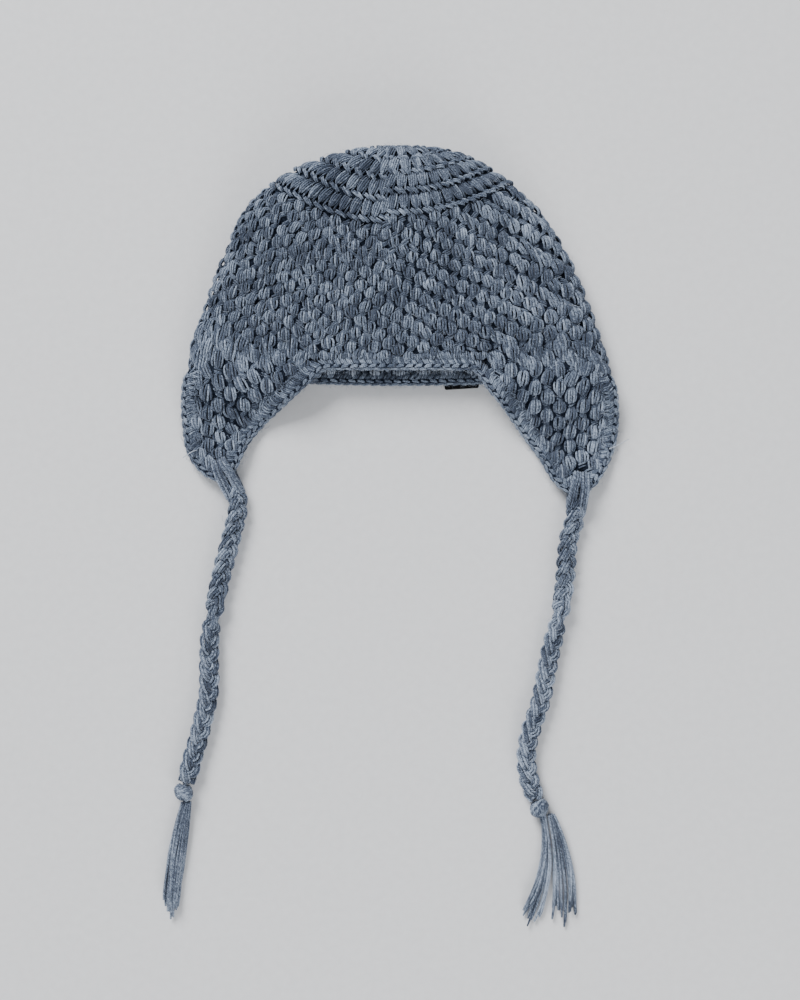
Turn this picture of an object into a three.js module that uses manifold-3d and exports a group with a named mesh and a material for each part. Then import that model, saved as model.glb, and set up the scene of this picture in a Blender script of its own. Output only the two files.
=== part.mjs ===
// A crocheted cap with ear flaps and braided ties, lying on its back wall, flattened.
// Millimetres. +Y points to the crown, +X to the right flap seen from above, +Z up from the surface.
import * as THREE from "three";
import { mergeVertices } from "three/addons/utils/BufferGeometryUtils.js";
import Module from "manifold-3d";

const wasm = await Module();
wasm.setup();

// Driving dimensions
const WALL = 4.0;                // thickness of the crocheted fabric
const GAP = 0.3;                 // space left between neighbouring pieces
const SEAM_GAP = 0.7;            // the same where a flap's end meets the cap's wall at an angle
const FLAP_SPACE = 0.5;          // and between a flap's side and the facets of its border
const EDGING_WIDE = 4.2;         // border bead, measured in the fabric's plane
const EDGING_THICK = 4.0;        // border bead, measured across the fabric
const FOLD_DEPTH = 14;           // how far in from the outline the rounded fold reaches
const ROUND_GROOVE = 0.9;        // depth of the groove between two crown rounds
const CROWN_ROUNDS = 4;
const CROWN_START = 0.35;        // the first crown ring, in sections from the centre
const BODY_SPACE = 0.018;        // crown and body stop this far from the groove, in sections
const DENT = { x: 0, y: 14, radius: 30, depth: 3.0 };
const BRAID = { diameter: 9.0, restHeight: 4.6 };
const KNOT = { long: 10.0, wide: 11.0, thick: 8.6 };
const LOOP_STRAP = { wide: 7.2, thick: 2.6 };
const LOOP_HEIGHT = { low: 1.45, high: 9.4 };
const LOOP_CORNER = 2.0;         // rounding where the tie loop turns through the flap
const TIP_HOLE = { wide: 8.0, long: 4.4 };
const LOCK_START_HEIGHT = 0.3;   // share of the way from the head's middle to a lock end's height
const HEAD_SPREAD = 0.6;         // how much of the spread of its ends a tassel has at its head
// The label: its middle, its place along the back rim from -1 at the left fold to 1,
// how much of it shows below the rim and its own height off the surface
const LABEL = { x: 30, across: 0.3, wide: 17, long: 13, thick: 0.9, showing: 1.6, lift: 0.25 };
const PLACE = { x: 0.35, y: 5.1 };  // brings the middle of the cap and flaps over the origin

// Facets
const AROUND = 44;
const CROWN_ROWS = 14;
const BODY_ROWS = 13;
const FLAP_ROWS = 12;
const FLAP_COLUMNS = 9;
const EDGING_SIDES = 8;
const FLAP_EDGE_STEPS = 26;
const BACK_RIM_STEPS = 26;
const FRONT_RIM_STEPS = 10;
const LOOP_STEPS = 24;
const LOOP_SIDES = 8;
const BRAID_SIDES = 10;
const BLOB = { columns: 12, rows: 8 };
const LOCK_STEPS = 6;
const LOCK_SIDES = 6;

// The cap's sections from the crown's centre to the rim, each one closed turn of fabric:
// its fold points at the left and right outline, the middle of its front and of its back.
const CAP_PLAN = [
  { leftX: -3.0, leftY: 82.4, rightX: -3.0, rightY: 82.4, frontY: 82.4, backY: 82.4 },
  { leftX: -16.7, leftY: 81.5, rightX: 14.0, rightY: 81.5, frontY: 79.4, backY: 79.2 },
  { leftX: -28.5, leftY: 79.2, rightX: 26.5, rightY: 79.3, frontY: 71.0, backY: 69.0 },
  { leftX: -41.3, leftY: 75.9, rightX: 36.8, rightY: 75.7, frontY: 62.9, backY: 60.0 },
  { leftX: -54.1, leftY: 70.9, rightX: 46.0, rightY: 70.6, frontY: 52.7, backY: 47.0 },
  { leftX: -66.5, leftY: 62.4, rightX: 56.5, rightY: 63.4, frontY: 42.3, backY: 34.0 },
  { leftX: -78.2, leftY: 50.2, rightX: 69.0, rightY: 50.2, frontY: 29.1, backY: 20.5 },
  { leftX: -87.0, leftY: 31.2, rightX: 81.4, rightY: 31.0, frontY: 16.0, backY: 8.0 },
  { leftX: -94.4, leftY: 12.8, rightX: 90.0, rightY: 12.8, frontY: 2.8, backY: -4.5 },
  { leftX: -100.6, leftY: -5.9, rightX: 97.0, rightY: -6.2, frontY: -10.5, backY: -17.0 },
  { leftX: -105.4, leftY: -23.5, rightX: 103.2, rightY: -25.5, frontY: -22.8, backY: -29.2 },
];
// Heights of the same sections: the folds, the front's middle and the back's middle
const CAP_HEIGHTS = [
  { fold: 14.0, front: 14.0, back: 14.0 },
  { fold: 14.0, front: 22.4, back: 5.8 },
  { fold: 13.6, front: 27.6, back: 0.6 },
  { fold: 12.6, front: 28.8, back: 0.0 },
  { fold: 11.6, front: 29.0, back: 0.0 },
  { fold: 10.6, front: 28.4, back: 0.0 },
  { fold: 9.6, front: 26.8, back: 0.0 },
  { fold: 8.6, front: 24.6, back: 0.0 },
  { fold: 7.9, front: 22.6, back: 0.0 },
  { fold: 7.3, front: 20.2, back: 0.0 },
  { fold: 6.8, front: 17.0, back: 0.0 },
];
const CROWN_END = 5;             // the section at the crown's last groove
const RIM = CAP_PLAN.length - 1;

// Outer outline of each flap with its border, from the fold round the tip to the front rim's corner
const LEFT_FLAP_OUTLINE = [
  { x: -106.8, y: -27.5 },
  { x: -108.4, y: -41.0 },
  { x: -108.2, y: -56.0 },
  { x: -106.9, y: -66.0 },
  { x: -101.3, y: -75.3 },
  { x: -93.2, y: -81.0 },
  { x: -86.0, y: -81.4 },
  { x: -81.4, y: -74.6 },
  { x: -75.6, y: -62.4 },
  { x: -67.1, y: -52.4 },
  { x: -55.9, y: -42.8 },
  { x: -43.5, y: -32.2 },
];
const RIGHT_FLAP_OUTLINE = [
  { x: 105.0, y: -29.5 },
  { x: 107.0, y: -41.0 },
  { x: 107.6, y: -54.0 },
  { x: 105.9, y: -66.0 },
  { x: 101.0, y: -77.0 },
  { x: 93.4, y: -86.4 },
  { x: 84.4, y: -88.0 },
  { x: 76.0, y: -82.4 },
  { x: 69.0, y: -70.4 },
  { x: 58.8, y: -57.0 },
  { x: 49.8, y: -45.0 },
  { x: 40.6, y: -34.8 },
];
const FLAPS = {
  left: {
    outline: LEFT_FLAP_OUTLINE, inward: 1, outerAcross: -0.96, innerAcross: -0.42,
    hole: { x: -90.4, y: -71.8 }, braidStart: { x: -83.6, y: -85.2 },
  },
  right: {
    outline: RIGHT_FLAP_OUTLINE, inward: -1, outerAcross: 0.96, innerAcross: 0.42,
    hole: { x: 89.2, y: -78.4 }, braidStart: { x: 87.4, y: -91.5 },
  },
};
const TIP_PART = 0.455;          // share of a flap's outline from the fold to the blunt tip
const TIP_EASE = 0.6;            // extra room where the border turns round the tip
const FOLD_EASE = 0.6;           // and where it turns round the fold of the cap
const FLAP_REST = { middle: 2.4, tip: 5.4 };
const SEAM_TURN = 6;             // how soon the flap's faces leave the direction of the rim's

// Routes of the two braids along their middles, seen from above
const BRAID_ROUTES = {
  left: [
    { x: -81.4, y: -87.2 },
    { x: -81.0, y: -95.0 },
    { x: -82.9, y: -104.0 },
    { x: -85.4, y: -114.0 },
    { x: -88.2, y: -124.0 },
    { x: -90.8, y: -135.5 },
    { x: -93.2, y: -148.0 },
    { x: -94.9, y: -160.0 },
    { x: -95.4, y: -174.0 },
    { x: -95.4, y: -186.0 },
    { x: -97.8, y: -198.0 },
    { x: -100.8, y: -210.0 },
    { x: -104.0, y: -221.0 },
    { x: -106.6, y: -231.0 },
  ],
  right: [
    { x: 87.2, y: -93.4 },
    { x: 86.2, y: -101.0 },
    { x: 83.6, y: -109.0 },
    { x: 82.4, y: -118.0 },
    { x: 81.7, y: -128.0 },
    { x: 80.2, y: -140.0 },
    { x: 77.8, y: -152.0 },
    { x: 74.6, y: -165.0 },
    { x: 71.9, y: -178.0 },
    { x: 69.4, y: -191.0 },
    { x: 65.2, y: -203.0 },
    { x: 62.6, y: -214.0 },
    { x: 62.5, y: -223.0 },
    { x: 64.2, y: -232.0 },
    { x: 66.8, y: -239.0 },
  ],
};

// Yarn ends below each knot: where each lock ends, its height there and its sideways belly
const TASSELS = {
  left: {
    head: { x: -107.8, y: -246.0, long: 8.0, wide: 9.6, thick: 6.6 },
    radii: { start: 2.3, end: 1.8 },
    ends: [
      { x: -116.6, y: -291.0, z: 1.9, belly: -5.2 },
      { x: -115.0, y: -294.0, z: 1.9, belly: -3.6 },
      { x: -113.4, y: -295.0, z: 1.9, belly: -2.0 },
      { x: -111.8, y: -293.0, z: 1.9, belly: -0.4 },
      { x: -115.8, y: -290.0, z: 4.0, belly: -4.4 },
      { x: -114.2, y: -292.0, z: 4.2, belly: -2.8 },
      { x: -112.6, y: -289.0, z: 4.0, belly: -1.2 },
    ],
  },
  right: {
    head: { x: 74.3, y: -252.2, long: 8.0, wide: 9.0, thick: 6.6 },
    radii: { start: 2.3, end: 1.6 },
    ends: [
      { x: 61.6, y: -295.0, z: 1.8, belly: 8.0 },
      { x: 64.2, y: -299.5, z: 1.8, belly: 8.6 },
      { x: 68.4, y: -299.5, z: 1.8, belly: 7.6 },
      { x: 76.6, y: -297.0, z: 1.8, belly: 3.6 },
      { x: 82.2, y: -298.0, z: 1.8, belly: 5.0 },
      { x: 86.2, y: -297.5, z: 1.8, belly: 6.4 },
      { x: 63.6, y: -293.0, z: 4.0, belly: 9.0 },
      { x: 84.4, y: -294.0, z: 4.0, belly: 6.2 },
    ],
  },
};

const UP = new THREE.Vector3(0, 0, 1);

function materialOf(colour, roughness) {
  return new THREE.MeshStandardMaterial({ color: colour, roughness, metalness: 0 });
}
const yarnWool = materialOf(0x6e7988, 0.95);
const labelCloth = materialOf(0x16171a, 0.9);

function piece(name, geometry, material) {
  const mesh = new THREE.Mesh(geometry, material);
  mesh.name = name;
  return mesh;
}

// Smooth values between table rows
function catmull(before, here, next, after, part) {
  const slopeHere = (next - before) / 2;
  const slopeNext = (after - here) / 2;
  const square = part * part;
  const cube = square * part;
  return (2 * cube - 3 * square + 1) * here + (cube - 2 * square + part) * slopeHere
    + (3 * square - 2 * cube) * next + (cube - square) * slopeNext;
}

function tableRow(rows, at) {
  const last = rows.length - 1;
  const index = Math.min(Math.max(Math.floor(at), 0), last - 1);
  const row = {};
  for (const column of Object.keys(rows[0])) {
    const here = rows[index][column];
    const next = rows[index + 1][column];
    const before = index > 0 ? rows[index - 1][column] : 2 * here - next;
    const after = index + 2 <= last ? rows[index + 2][column] : 2 * next - here;
    row[column] = catmull(before, here, next, after, at - index);
  }
  return row;
}

function smoothStep(low, high, value) {
  const part = Math.min(Math.max((value - low) / (high - low), 0), 1);
  return part * part * (3 - 2 * part);
}

function dentAt(x, y) {
  const distance = Math.hypot(x - DENT.x, y - DENT.y) / DENT.radius;
  return DENT.depth * Math.exp(-distance * distance);
}

// Outer surface of the cap. "at" runs along the sections, "angle" once round the fabric:
// 0 at the left fold, a half turn over the front to the right fold, and back underneath.
function capSurface(at, angle) {
  const plan = tableRow(CAP_PLAN, at);
  const height = tableRow(CAP_HEIGHTS, at);
  const across = -Math.cos(angle);
  const onFront = Math.sin(angle) >= 0;
  const halfWidth = (plan.rightX - plan.leftX) / 2;
  const flatPart = Math.max(0, 1 - FOLD_DEPTH / Math.max(halfWidth, FOLD_DEPTH));
  const inFold = Math.max(0, (Math.abs(across) - flatPart) / (1 - flatPart));
  const rise = Math.sqrt(Math.max(0, 1 - inFold * inFold));
  const foldY = plan.leftY + (plan.rightY - plan.leftY) * (across + 1) / 2;
  const middleY = onFront ? plan.frontY : plan.backY;
  const x = (plan.leftX + plan.rightX) / 2 + halfWidth * across;
  const y = middleY + (foldY - middleY) * across * across;
  if (!onFront) {
    return new THREE.Vector3(x, y, height.fold + (height.back - height.fold) * rise);
  }
  const crease = height.fold + Math.min(height.fold, height.front - height.fold) * rise;
  const dome = Math.max(0, height.front - 2 * height.fold) * (1 - across * across);
  return new THREE.Vector3(x, y, crease + dome - dentAt(x, y) * rise);
}

// The fabric's direction towards the rim, and its outward normal
function capAlong(at, angle) {
  const step = 0.02;
  return capSurface(at + step, angle).sub(capSurface(Math.max(at - step, 0.01), angle)).normalize();
}

function capNormal(at, angle) {
  const step = 0.02;
  const around = capSurface(at, angle + step).sub(capSurface(at, angle - step));
  return capAlong(at, angle).cross(around).normalize();
}

// A point within the fabric: depth 0 is the outer face, WALL the inner face
function capPoint(at, angle, depth) {
  return capSurface(at, angle).addScaledVector(capNormal(at, angle), -depth);
}

// Closed solids from rings of points
function closedGeometry(points, triangles) {
  const geometry = new THREE.BufferGeometry();
  const positions = points.flatMap((point) => [point.x, point.y, point.z]);
  geometry.setAttribute("position", new THREE.Float32BufferAttribute(positions, 3));
  geometry.setIndex(triangles);
  return geometry;
}

function ringWall(first, second, count, triangles) {
  for (let i = 0; i < count; i += 1) {
    const next = (i + 1) % count;
    triangles.push(first + i, second + next, first + next, first + i, second + i, second + next);
  }
}

// Rings joined in order. A closed sweep ends on its first ring, an open one in two flat caps.
function loft(rings, isClosed) {
  const count = rings[0].length;
  const points = rings.flat();
  const triangles = [];
  const spans = isClosed ? rings.length : rings.length - 1;
  for (let i = 0; i < spans; i += 1) {
    ringWall(i * count, ((i + 1) % rings.length) * count, count, triangles);
  }
  if (!isClosed) {
    const lastRing = (rings.length - 1) * count;
    for (let i = 1; i < count - 1; i += 1) {
      triangles.push(0, i, i + 1, lastRing, lastRing + i + 1, lastRing + i);
    }
  }
  return closedGeometry(points, triangles);
}

// A dome whose outer and inner faces each close in a pole, joined along the open end
function domeShell(outerPole, outerRings, innerPole, innerRings) {
  const count = outerRings[0].length;
  const points = [outerPole, ...outerRings.flat(), innerPole, ...innerRings.flat()];
  const outerStart = 1;
  const innerStart = 2 + outerRings.length * count;
  const triangles = [];
  for (let i = 0; i < count; i += 1) {
    const next = (i + 1) % count;
    triangles.push(0, outerStart + i, outerStart + next);
    triangles.push(innerStart - 1, innerStart + next, innerStart + i);
  }
  for (let ring = 0; ring < outerRings.length - 1; ring += 1) {
    ringWall(outerStart + ring * count, outerStart + (ring + 1) * count, count, triangles);
    ringWall(innerStart + (ring + 1) * count, innerStart + ring * count, count, triangles);
  }
  const lastRing = outerRings.length - 1;
  ringWall(outerStart + lastRing * count, innerStart + lastRing * count, count, triangles);
  return closedGeometry(points, triangles);
}

function capRing(at, depth) {
  const ring = [];
  for (let i = 0; i < AROUND; i += 1) {
    const angle = (2 * Math.PI * i) / AROUND;
    ring.push(capPoint(at, angle, depth));
  }
  return ring;
}

function solidOf(geometry) {
  const bare = geometry.index ? geometry.clone() : geometry;
  bare.deleteAttribute("normal");
  bare.deleteAttribute("uv");
  const merged = mergeVertices(bare, 0.0001);
  return new wasm.Manifold(new wasm.Mesh({
    numProp: 3,
    vertProperties: Float32Array.from(merged.attributes.position.array),
    triVerts: Uint32Array.from(merged.index.array),
  }));
}

function geometryOf(solid) {
  const mesh = solid.getMesh();
  const geometry = new THREE.BufferGeometry();
  geometry.setAttribute("position", new THREE.BufferAttribute(mesh.vertProperties, 3));
  geometry.setIndex(new THREE.BufferAttribute(mesh.triVerts, 1));
  return geometry;
}

// Crown: a dome of rounds with a groove between each two
function crown() {
  const endAt = CROWN_END - BODY_SPACE;
  const outerRings = [];
  const innerRings = [];
  for (let i = 0; i <= CROWN_ROWS; i += 1) {
    const at = CROWN_START + ((endAt - CROWN_START) * i) / CROWN_ROWS;
    const betweenRounds = 1 - Math.abs(Math.sin((Math.PI * at * CROWN_ROUNDS) / (CROWN_END - 1)));
    const groove = ROUND_GROOVE * betweenRounds * smoothStep(0.6, 1.4, at);
    outerRings.push(capRing(at, groove));
    innerRings.push(capRing(at, WALL));
  }
  const outerPole = capSurface(0, 0);
  const innerPole = outerPole.clone().setY(outerPole.y - WALL);
  return domeShell(outerPole, outerRings, innerPole, innerRings);
}

// Body: a tube of fabric, so its rings run down the outside and back up the inside
function capBody() {
  const startAt = CROWN_END + BODY_SPACE;
  const rings = [];
  for (let i = 0; i <= BODY_ROWS; i += 1) {
    rings.push(capRing(startAt + ((RIM - startAt) * i) / BODY_ROWS, 0));
  }
  for (let i = BODY_ROWS; i >= 0; i -= 1) {
    rings.push(capRing(startAt + ((RIM - startAt) * i) / BODY_ROWS, WALL));
  }
  return loft(rings, true);
}

// The rim's middle line at a place across the cap, moved on past the fabric's end
function rimStation(across, isFront, beyond) {
  const angle = isFront ? Math.acos(-across) : 2 * Math.PI - Math.acos(-across);
  const point = capPoint(RIM, angle, WALL / 2).addScaledVector(capAlong(RIM, angle), beyond);
  return { point, normal: capNormal(RIM, angle) };
}

// Flaps, each ruled between the two sides of its outline
function outlineCurve(outline) {
  return new THREE.CatmullRomCurve3(outline.map((row) => new THREE.Vector3(row.x, row.y, 0)));
}

function insetOutline(curve, part, inset, inward) {
  const tangent = curve.getTangentAt(part);
  const normal = new THREE.Vector3(-tangent.y, tangent.x, 0).multiplyScalar(inward);
  return curve.getPointAt(part).addScaledVector(normal, inset);
}

// Height of the fabric's middle at a place down the flap, 0 at the rim and 1 at the tip
function flapHeight(topHeight, down) {
  const resting = FLAP_REST.middle + (FLAP_REST.tip - FLAP_REST.middle) * smoothStep(0.62, 0.9, down);
  return topHeight + (resting - topHeight) * smoothStep(0, 0.62, down);
}

function rimAbove(flap, across) {
  return rimStation(flap.outerAcross + (flap.innerAcross - flap.outerAcross) * across, true, SEAM_GAP);
}

function flapMiddle(flap, across, down) {
  const curve = outlineCurve(flap.outline);
  const inset = EDGING_WIDE + FLAP_SPACE + TIP_EASE * smoothStep(0.7, 1, down);
  const reach = TIP_PART * down;
  const outer = insetOutline(curve, reach, inset, flap.inward);
  const inner = insetOutline(curve, 1 - reach, inset, flap.inward);
  const ruled = outer.clone().lerp(inner, across);
  const rim = rimAbove(flap, across).point;
  const topOuter = insetOutline(curve, 0, inset, flap.inward);
  const topInner = insetOutline(curve, 1, inset, flap.inward);
  const topRuled = topOuter.lerp(topInner, across);
  const hold = (1 - down) ** 3;
  ruled.x += (rim.x - topRuled.x) * hold;
  ruled.y += (rim.y - topRuled.y) * hold;
  ruled.z = flapHeight(rim.z, down);
  return ruled;
}

function flapNormal(flap, across, down) {
  const step = 0.02;
  const low = Math.max(across - step, 0);
  const high = Math.min(across + step, 1);
  const side = flapMiddle(flap, high, down).sub(flapMiddle(flap, low, down));
  const above = Math.max(down - step, 0);
  const below = Math.min(down + step, 1);
  const along = flapMiddle(flap, across, below).sub(flapMiddle(flap, across, above));
  const normal = along.cross(side).normalize().multiplyScalar(flap.inward);
  const seamNormal = rimAbove(flap, across).normal;
  return normal.lerp(seamNormal, (1 - down) ** SEAM_TURN).normalize();
}

function earFlap(flap) {
  const rings = [];
  for (let row = 0; row <= FLAP_ROWS; row += 1) {
    const down = row / FLAP_ROWS;
    const upper = [];
    const lower = [];
    for (let column = 0; column <= FLAP_COLUMNS; column += 1) {
      const across = column / FLAP_COLUMNS;
      const middle = flapMiddle(flap, across, down);
      const normal = flapNormal(flap, across, down);
      upper.push(middle.clone().addScaledVector(normal, WALL / 2));
      lower.push(middle.clone().addScaledVector(normal, -WALL / 2));
    }
    const ring = [...upper, ...lower.reverse()];
    rings.push(flap.inward > 0 ? ring : ring.reverse());
  }
  const along = new THREE.Vector3(flap.braidStart.x - flap.hole.x, flap.braidStart.y - flap.hole.y, 0);
  const hole = new THREE.Shape();
  hole.absellipse(0, 0, TIP_HOLE.long / 2, TIP_HOLE.wide / 2, 0, 2 * Math.PI, false);
  const cutter = new THREE.ExtrudeGeometry(hole, { depth: 5 * WALL, bevelEnabled: false, curveSegments: 6 });
  cutter.rotateZ(Math.atan2(along.y, along.x));
  cutter.translate(flap.hole.x, flap.hole.y, -WALL);
  return geometryOf(solidOf(loft(rings, false)).subtract(solidOf(cutter)));
}

// Sweep of an oval section along stations, each with its point and the fabric's outward normal there
function ovalSweep(stations, isClosed, sides, sizeAt) {
  const count = stations.length;
  const rings = stations.map((station, i) => {
    const before = stations[isClosed ? (i + count - 1) % count : Math.max(i - 1, 0)];
    const after = stations[isClosed ? (i + 1) % count : Math.min(i + 1, count - 1)];
    const tangent = after.point.clone().sub(before.point).normalize();
    const side = new THREE.Vector3().crossVectors(tangent, station.normal).normalize();
    const face = new THREE.Vector3().crossVectors(side, tangent).normalize();
    const size = sizeAt(i / (count - 1));
    const ring = [];
    for (let corner = 0; corner < sides; corner += 1) {
      const angle = (2 * Math.PI * (corner + 0.5)) / sides;
      ring.push(station.point.clone()
        .addScaledVector(side, (size.wide / 2) * Math.cos(angle))
        .addScaledVector(face, (size.thick / 2) * Math.sin(angle)));
    }
    return ring;
  });
  return loft(rings, isClosed);
}

function flapEdgeStations(flap) {
  const curve = outlineCurve(flap.outline);
  const endSpace = 0.03;
  const stations = [];
  for (let i = 0; i <= FLAP_EDGE_STEPS; i += 1) {
    const part = endSpace + ((1 - 2 * endSpace) * i) / FLAP_EDGE_STEPS;
    const isOuterHalf = part <= 0.5;
    const down = Math.min((isOuterHalf ? part : 1 - part) / TIP_PART, 1);
    const across = isOuterHalf ? 0 : 1;
    const point = insetOutline(curve, part, EDGING_WIDE / 2, flap.inward);
    point.z = flapMiddle(flap, across, down).z;
    stations.push({ point, normal: flapNormal(flap, across, down) });
  }
  return stations;
}

function rimEdgeStations(isFront, from, to, count) {
  const stations = [];
  for (let i = 0; i <= count; i += 1) {
    const across = from + ((to - from) * i) / count;
    const ease = FOLD_EASE * smoothStep(0.9, 0.98, Math.abs(across));
    stations.push(rimStation(across, isFront, GAP + EDGING_WIDE / 2 + ease));
  }
  return stations;
}

// Each station moved towards its neighbours', which rounds the corners between the runs
function eased(stations) {
  const count = stations.length;
  return stations.map((station, i) => {
    const before = stations[(i + count - 1) % count];
    const after = stations[(i + 1) % count];
    return {
      point: station.point.clone().multiplyScalar(2).add(before.point).add(after.point).divideScalar(4),
      normal: station.normal.clone().multiplyScalar(2).add(before.normal).add(after.normal).normalize(),
    };
  });
}

function rimEdging() {
  const stations = [
    ...rimEdgeStations(false, 0.98, -0.98, BACK_RIM_STEPS),
    ...rimEdgeStations(true, -0.995, -0.975, 1),
    ...flapEdgeStations(FLAPS.left),
    ...rimEdgeStations(true, -0.36, 0.36, FRONT_RIM_STEPS),
    ...flapEdgeStations(FLAPS.right).reverse(),
    ...rimEdgeStations(true, 0.975, 0.995, 1),
  ];
  const section = { wide: EDGING_WIDE, thick: EDGING_THICK };
  return clearOfLabel(ovalSweep(eased(stations), true, EDGING_SIDES, () => section));
}

// Tie loops: a strap of yarn through the tip's hole and round the border, closed on itself
function tieLoop(flap) {
  const hole = new THREE.Vector3(flap.hole.x, flap.hole.y, 0);
  const along = new THREE.Vector3(flap.braidStart.x, flap.braidStart.y, 0).sub(hole);
  const length = along.length();
  along.normalize();
  const { low, high } = LOOP_HEIGHT;
  const corner = LOOP_CORNER;
  const profile = [
    { out: 0, z: low + corner },
    { out: corner * 0.35, z: low + corner * 0.3 },
    { out: corner * 1.2, z: low },
    { out: length * 0.5, z: low },
    { out: length - corner * 1.4, z: low },
    { out: length - corner * 0.4, z: low + corner * 0.6 },
    { out: length, z: (low + high) / 2 },
    { out: length - corner * 0.5, z: high - corner * 1.5 },
    { out: length - corner * 1.6, z: high - corner * 0.5 },
    { out: length * 0.5, z: high },
    { out: corner * 1.2, z: high },
    { out: corner * 0.35, z: high - corner * 0.3 },
    { out: 0, z: high - corner },
  ];
  const points = profile.map((row) => hole.clone().addScaledVector(along, row.out).setZ(row.z));
  const side = new THREE.Vector3(-along.y, along.x, 0);
  const curve = new THREE.CatmullRomCurve3(points, true, "centripetal");
  const places = curve.getSpacedPoints(LOOP_STEPS).slice(0, LOOP_STEPS);
  const stations = places.map((point, i) => {
    const before = places[(i + LOOP_STEPS - 1) % LOOP_STEPS];
    const tangent = places[(i + 1) % LOOP_STEPS].clone().sub(before);
    return { point, normal: new THREE.Vector3().crossVectors(side, tangent).normalize() };
  });
  return ovalSweep(stations, true, LOOP_SIDES, () => LOOP_STRAP);
}

// Braids, knots and tassels
function braidCurve(route) {
  return new THREE.CatmullRomCurve3(route.map((row) => new THREE.Vector3(row.x, row.y, BRAID.restHeight)));
}

function braid(route) {
  const curve = braidCurve(route);
  const section = new THREE.Shape();
  for (let i = 0; i < BRAID_SIDES; i += 1) {
    const angle = (2 * Math.PI * i) / BRAID_SIDES;
    const corner = [(BRAID.diameter / 2) * Math.cos(angle), (BRAID.diameter / 2) * Math.sin(angle)];
    if (i === 0) {
      section.moveTo(...corner);
    } else {
      section.lineTo(...corner);
    }
  }
  const steps = Math.round(curve.getLength() / (2 * BRAID.diameter));
  return new THREE.ExtrudeGeometry(section, { steps, extrudePath: curve, bevelEnabled: false });
}

function roundBlob(centre, heading, size) {
  const blob = new THREE.SphereGeometry(0.5, BLOB.columns, BLOB.rows);
  blob.scale(size.wide, size.long, size.thick);
  blob.rotateZ(Math.atan2(heading.y, heading.x) - Math.PI / 2);
  blob.translate(centre.x, centre.y, centre.z);
  return blob;
}

function braidKnot(route) {
  const curve = braidCurve(route);
  const heading = curve.getTangentAt(1);
  const centre = curve.getPointAt(1).addScaledVector(heading, KNOT.long / 2 + GAP);
  return roundBlob(centre, heading, KNOT);
}

// A lock of yarn that runs from inside the head to its own end on the surface
function lock(start, row, radii) {
  const end = new THREE.Vector3(row.x, row.y, row.z);
  const along = end.clone().sub(start).setZ(0).normalize();
  const side = new THREE.Vector3(-along.y, along.x, 0);
  const middle = start.clone().lerp(end, 0.5).addScaledVector(side, row.belly);
  const curve = new THREE.QuadraticBezierCurve3(start, middle, end);
  const stations = curve.getSpacedPoints(LOCK_STEPS).map((point) => ({ point, normal: UP }));
  const sizeAt = (part) => {
    const width = 2 * (radii.start + (radii.end - radii.start) * part);
    return { wide: width, thick: width };
  };
  return ovalSweep(stations, false, LOCK_SIDES, sizeAt);
}

function tassel(spec) {
  const { head, radii, ends } = spec;
  const meanX = ends.reduce((sum, row) => sum + row.x, 0) / ends.length;
  const meanY = ends.reduce((sum, row) => sum + row.y, 0) / ends.length;
  const heading = new THREE.Vector3(meanX - head.x, meanY - head.y, 0);
  const centre = new THREE.Vector3(head.x, head.y, head.thick / 2 + 0.2);
  const sideRoom = head.wide / 2 - radii.start;
  let bundle = solidOf(roundBlob(centre, heading, head));
  for (const row of ends) {
    const sideways = (row.x - meanX) * HEAD_SPREAD;
    const start = centre.clone();
    start.x += Math.min(Math.max(sideways, -sideRoom), sideRoom);
    start.z += (row.z - centre.z) * LOCK_START_HEIGHT;
    bundle = bundle.add(solidOf(lock(start, row, radii)));
  }
  return geometryOf(bundle);
}

// Label: a thin folded tab under the edge of the back rim
function labelBox(grow) {
  const box = new THREE.BoxGeometry(LABEL.wide + 2 * grow, LABEL.long + 2 * grow, LABEL.thick + 2 * grow);
  const rimY = rimStation(LABEL.across, false, GAP + EDGING_WIDE).point.y;
  return box.translate(LABEL.x, rimY - LABEL.showing + LABEL.long / 2, LABEL.lift + LABEL.thick / 2);
}

// The fabric over the label, hollowed where the label lies against it
function clearOfLabel(geometry) {
  return geometryOf(solidOf(geometry).subtract(solidOf(labelBox(GAP))));
}

const hat = new THREE.Group();
hat.add(piece("crown", crown(), yarnWool));
hat.add(piece("cap_body", clearOfLabel(capBody()), yarnWool));
hat.add(piece("ear_flap_left", earFlap(FLAPS.left), yarnWool));
hat.add(piece("ear_flap_right", earFlap(FLAPS.right), yarnWool));
hat.add(piece("rim_edging", rimEdging(), yarnWool));
hat.add(piece("label", labelBox(0), labelCloth));
for (const [side, flap] of Object.entries(FLAPS)) {
  hat.add(piece(`tie_loop_${side}`, tieLoop(flap), yarnWool));
  hat.add(piece(`braid_${side}`, braid(BRAID_ROUTES[side]), yarnWool));
  hat.add(piece(`braid_knot_${side}`, braidKnot(BRAID_ROUTES[side]), yarnWool));
  hat.add(piece(`tassel_${side}`, tassel(TASSELS[side]), yarnWool));
}

hat.position.set(PLACE.x, PLACE.y, 0);

export default hat;
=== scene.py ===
import math

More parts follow.
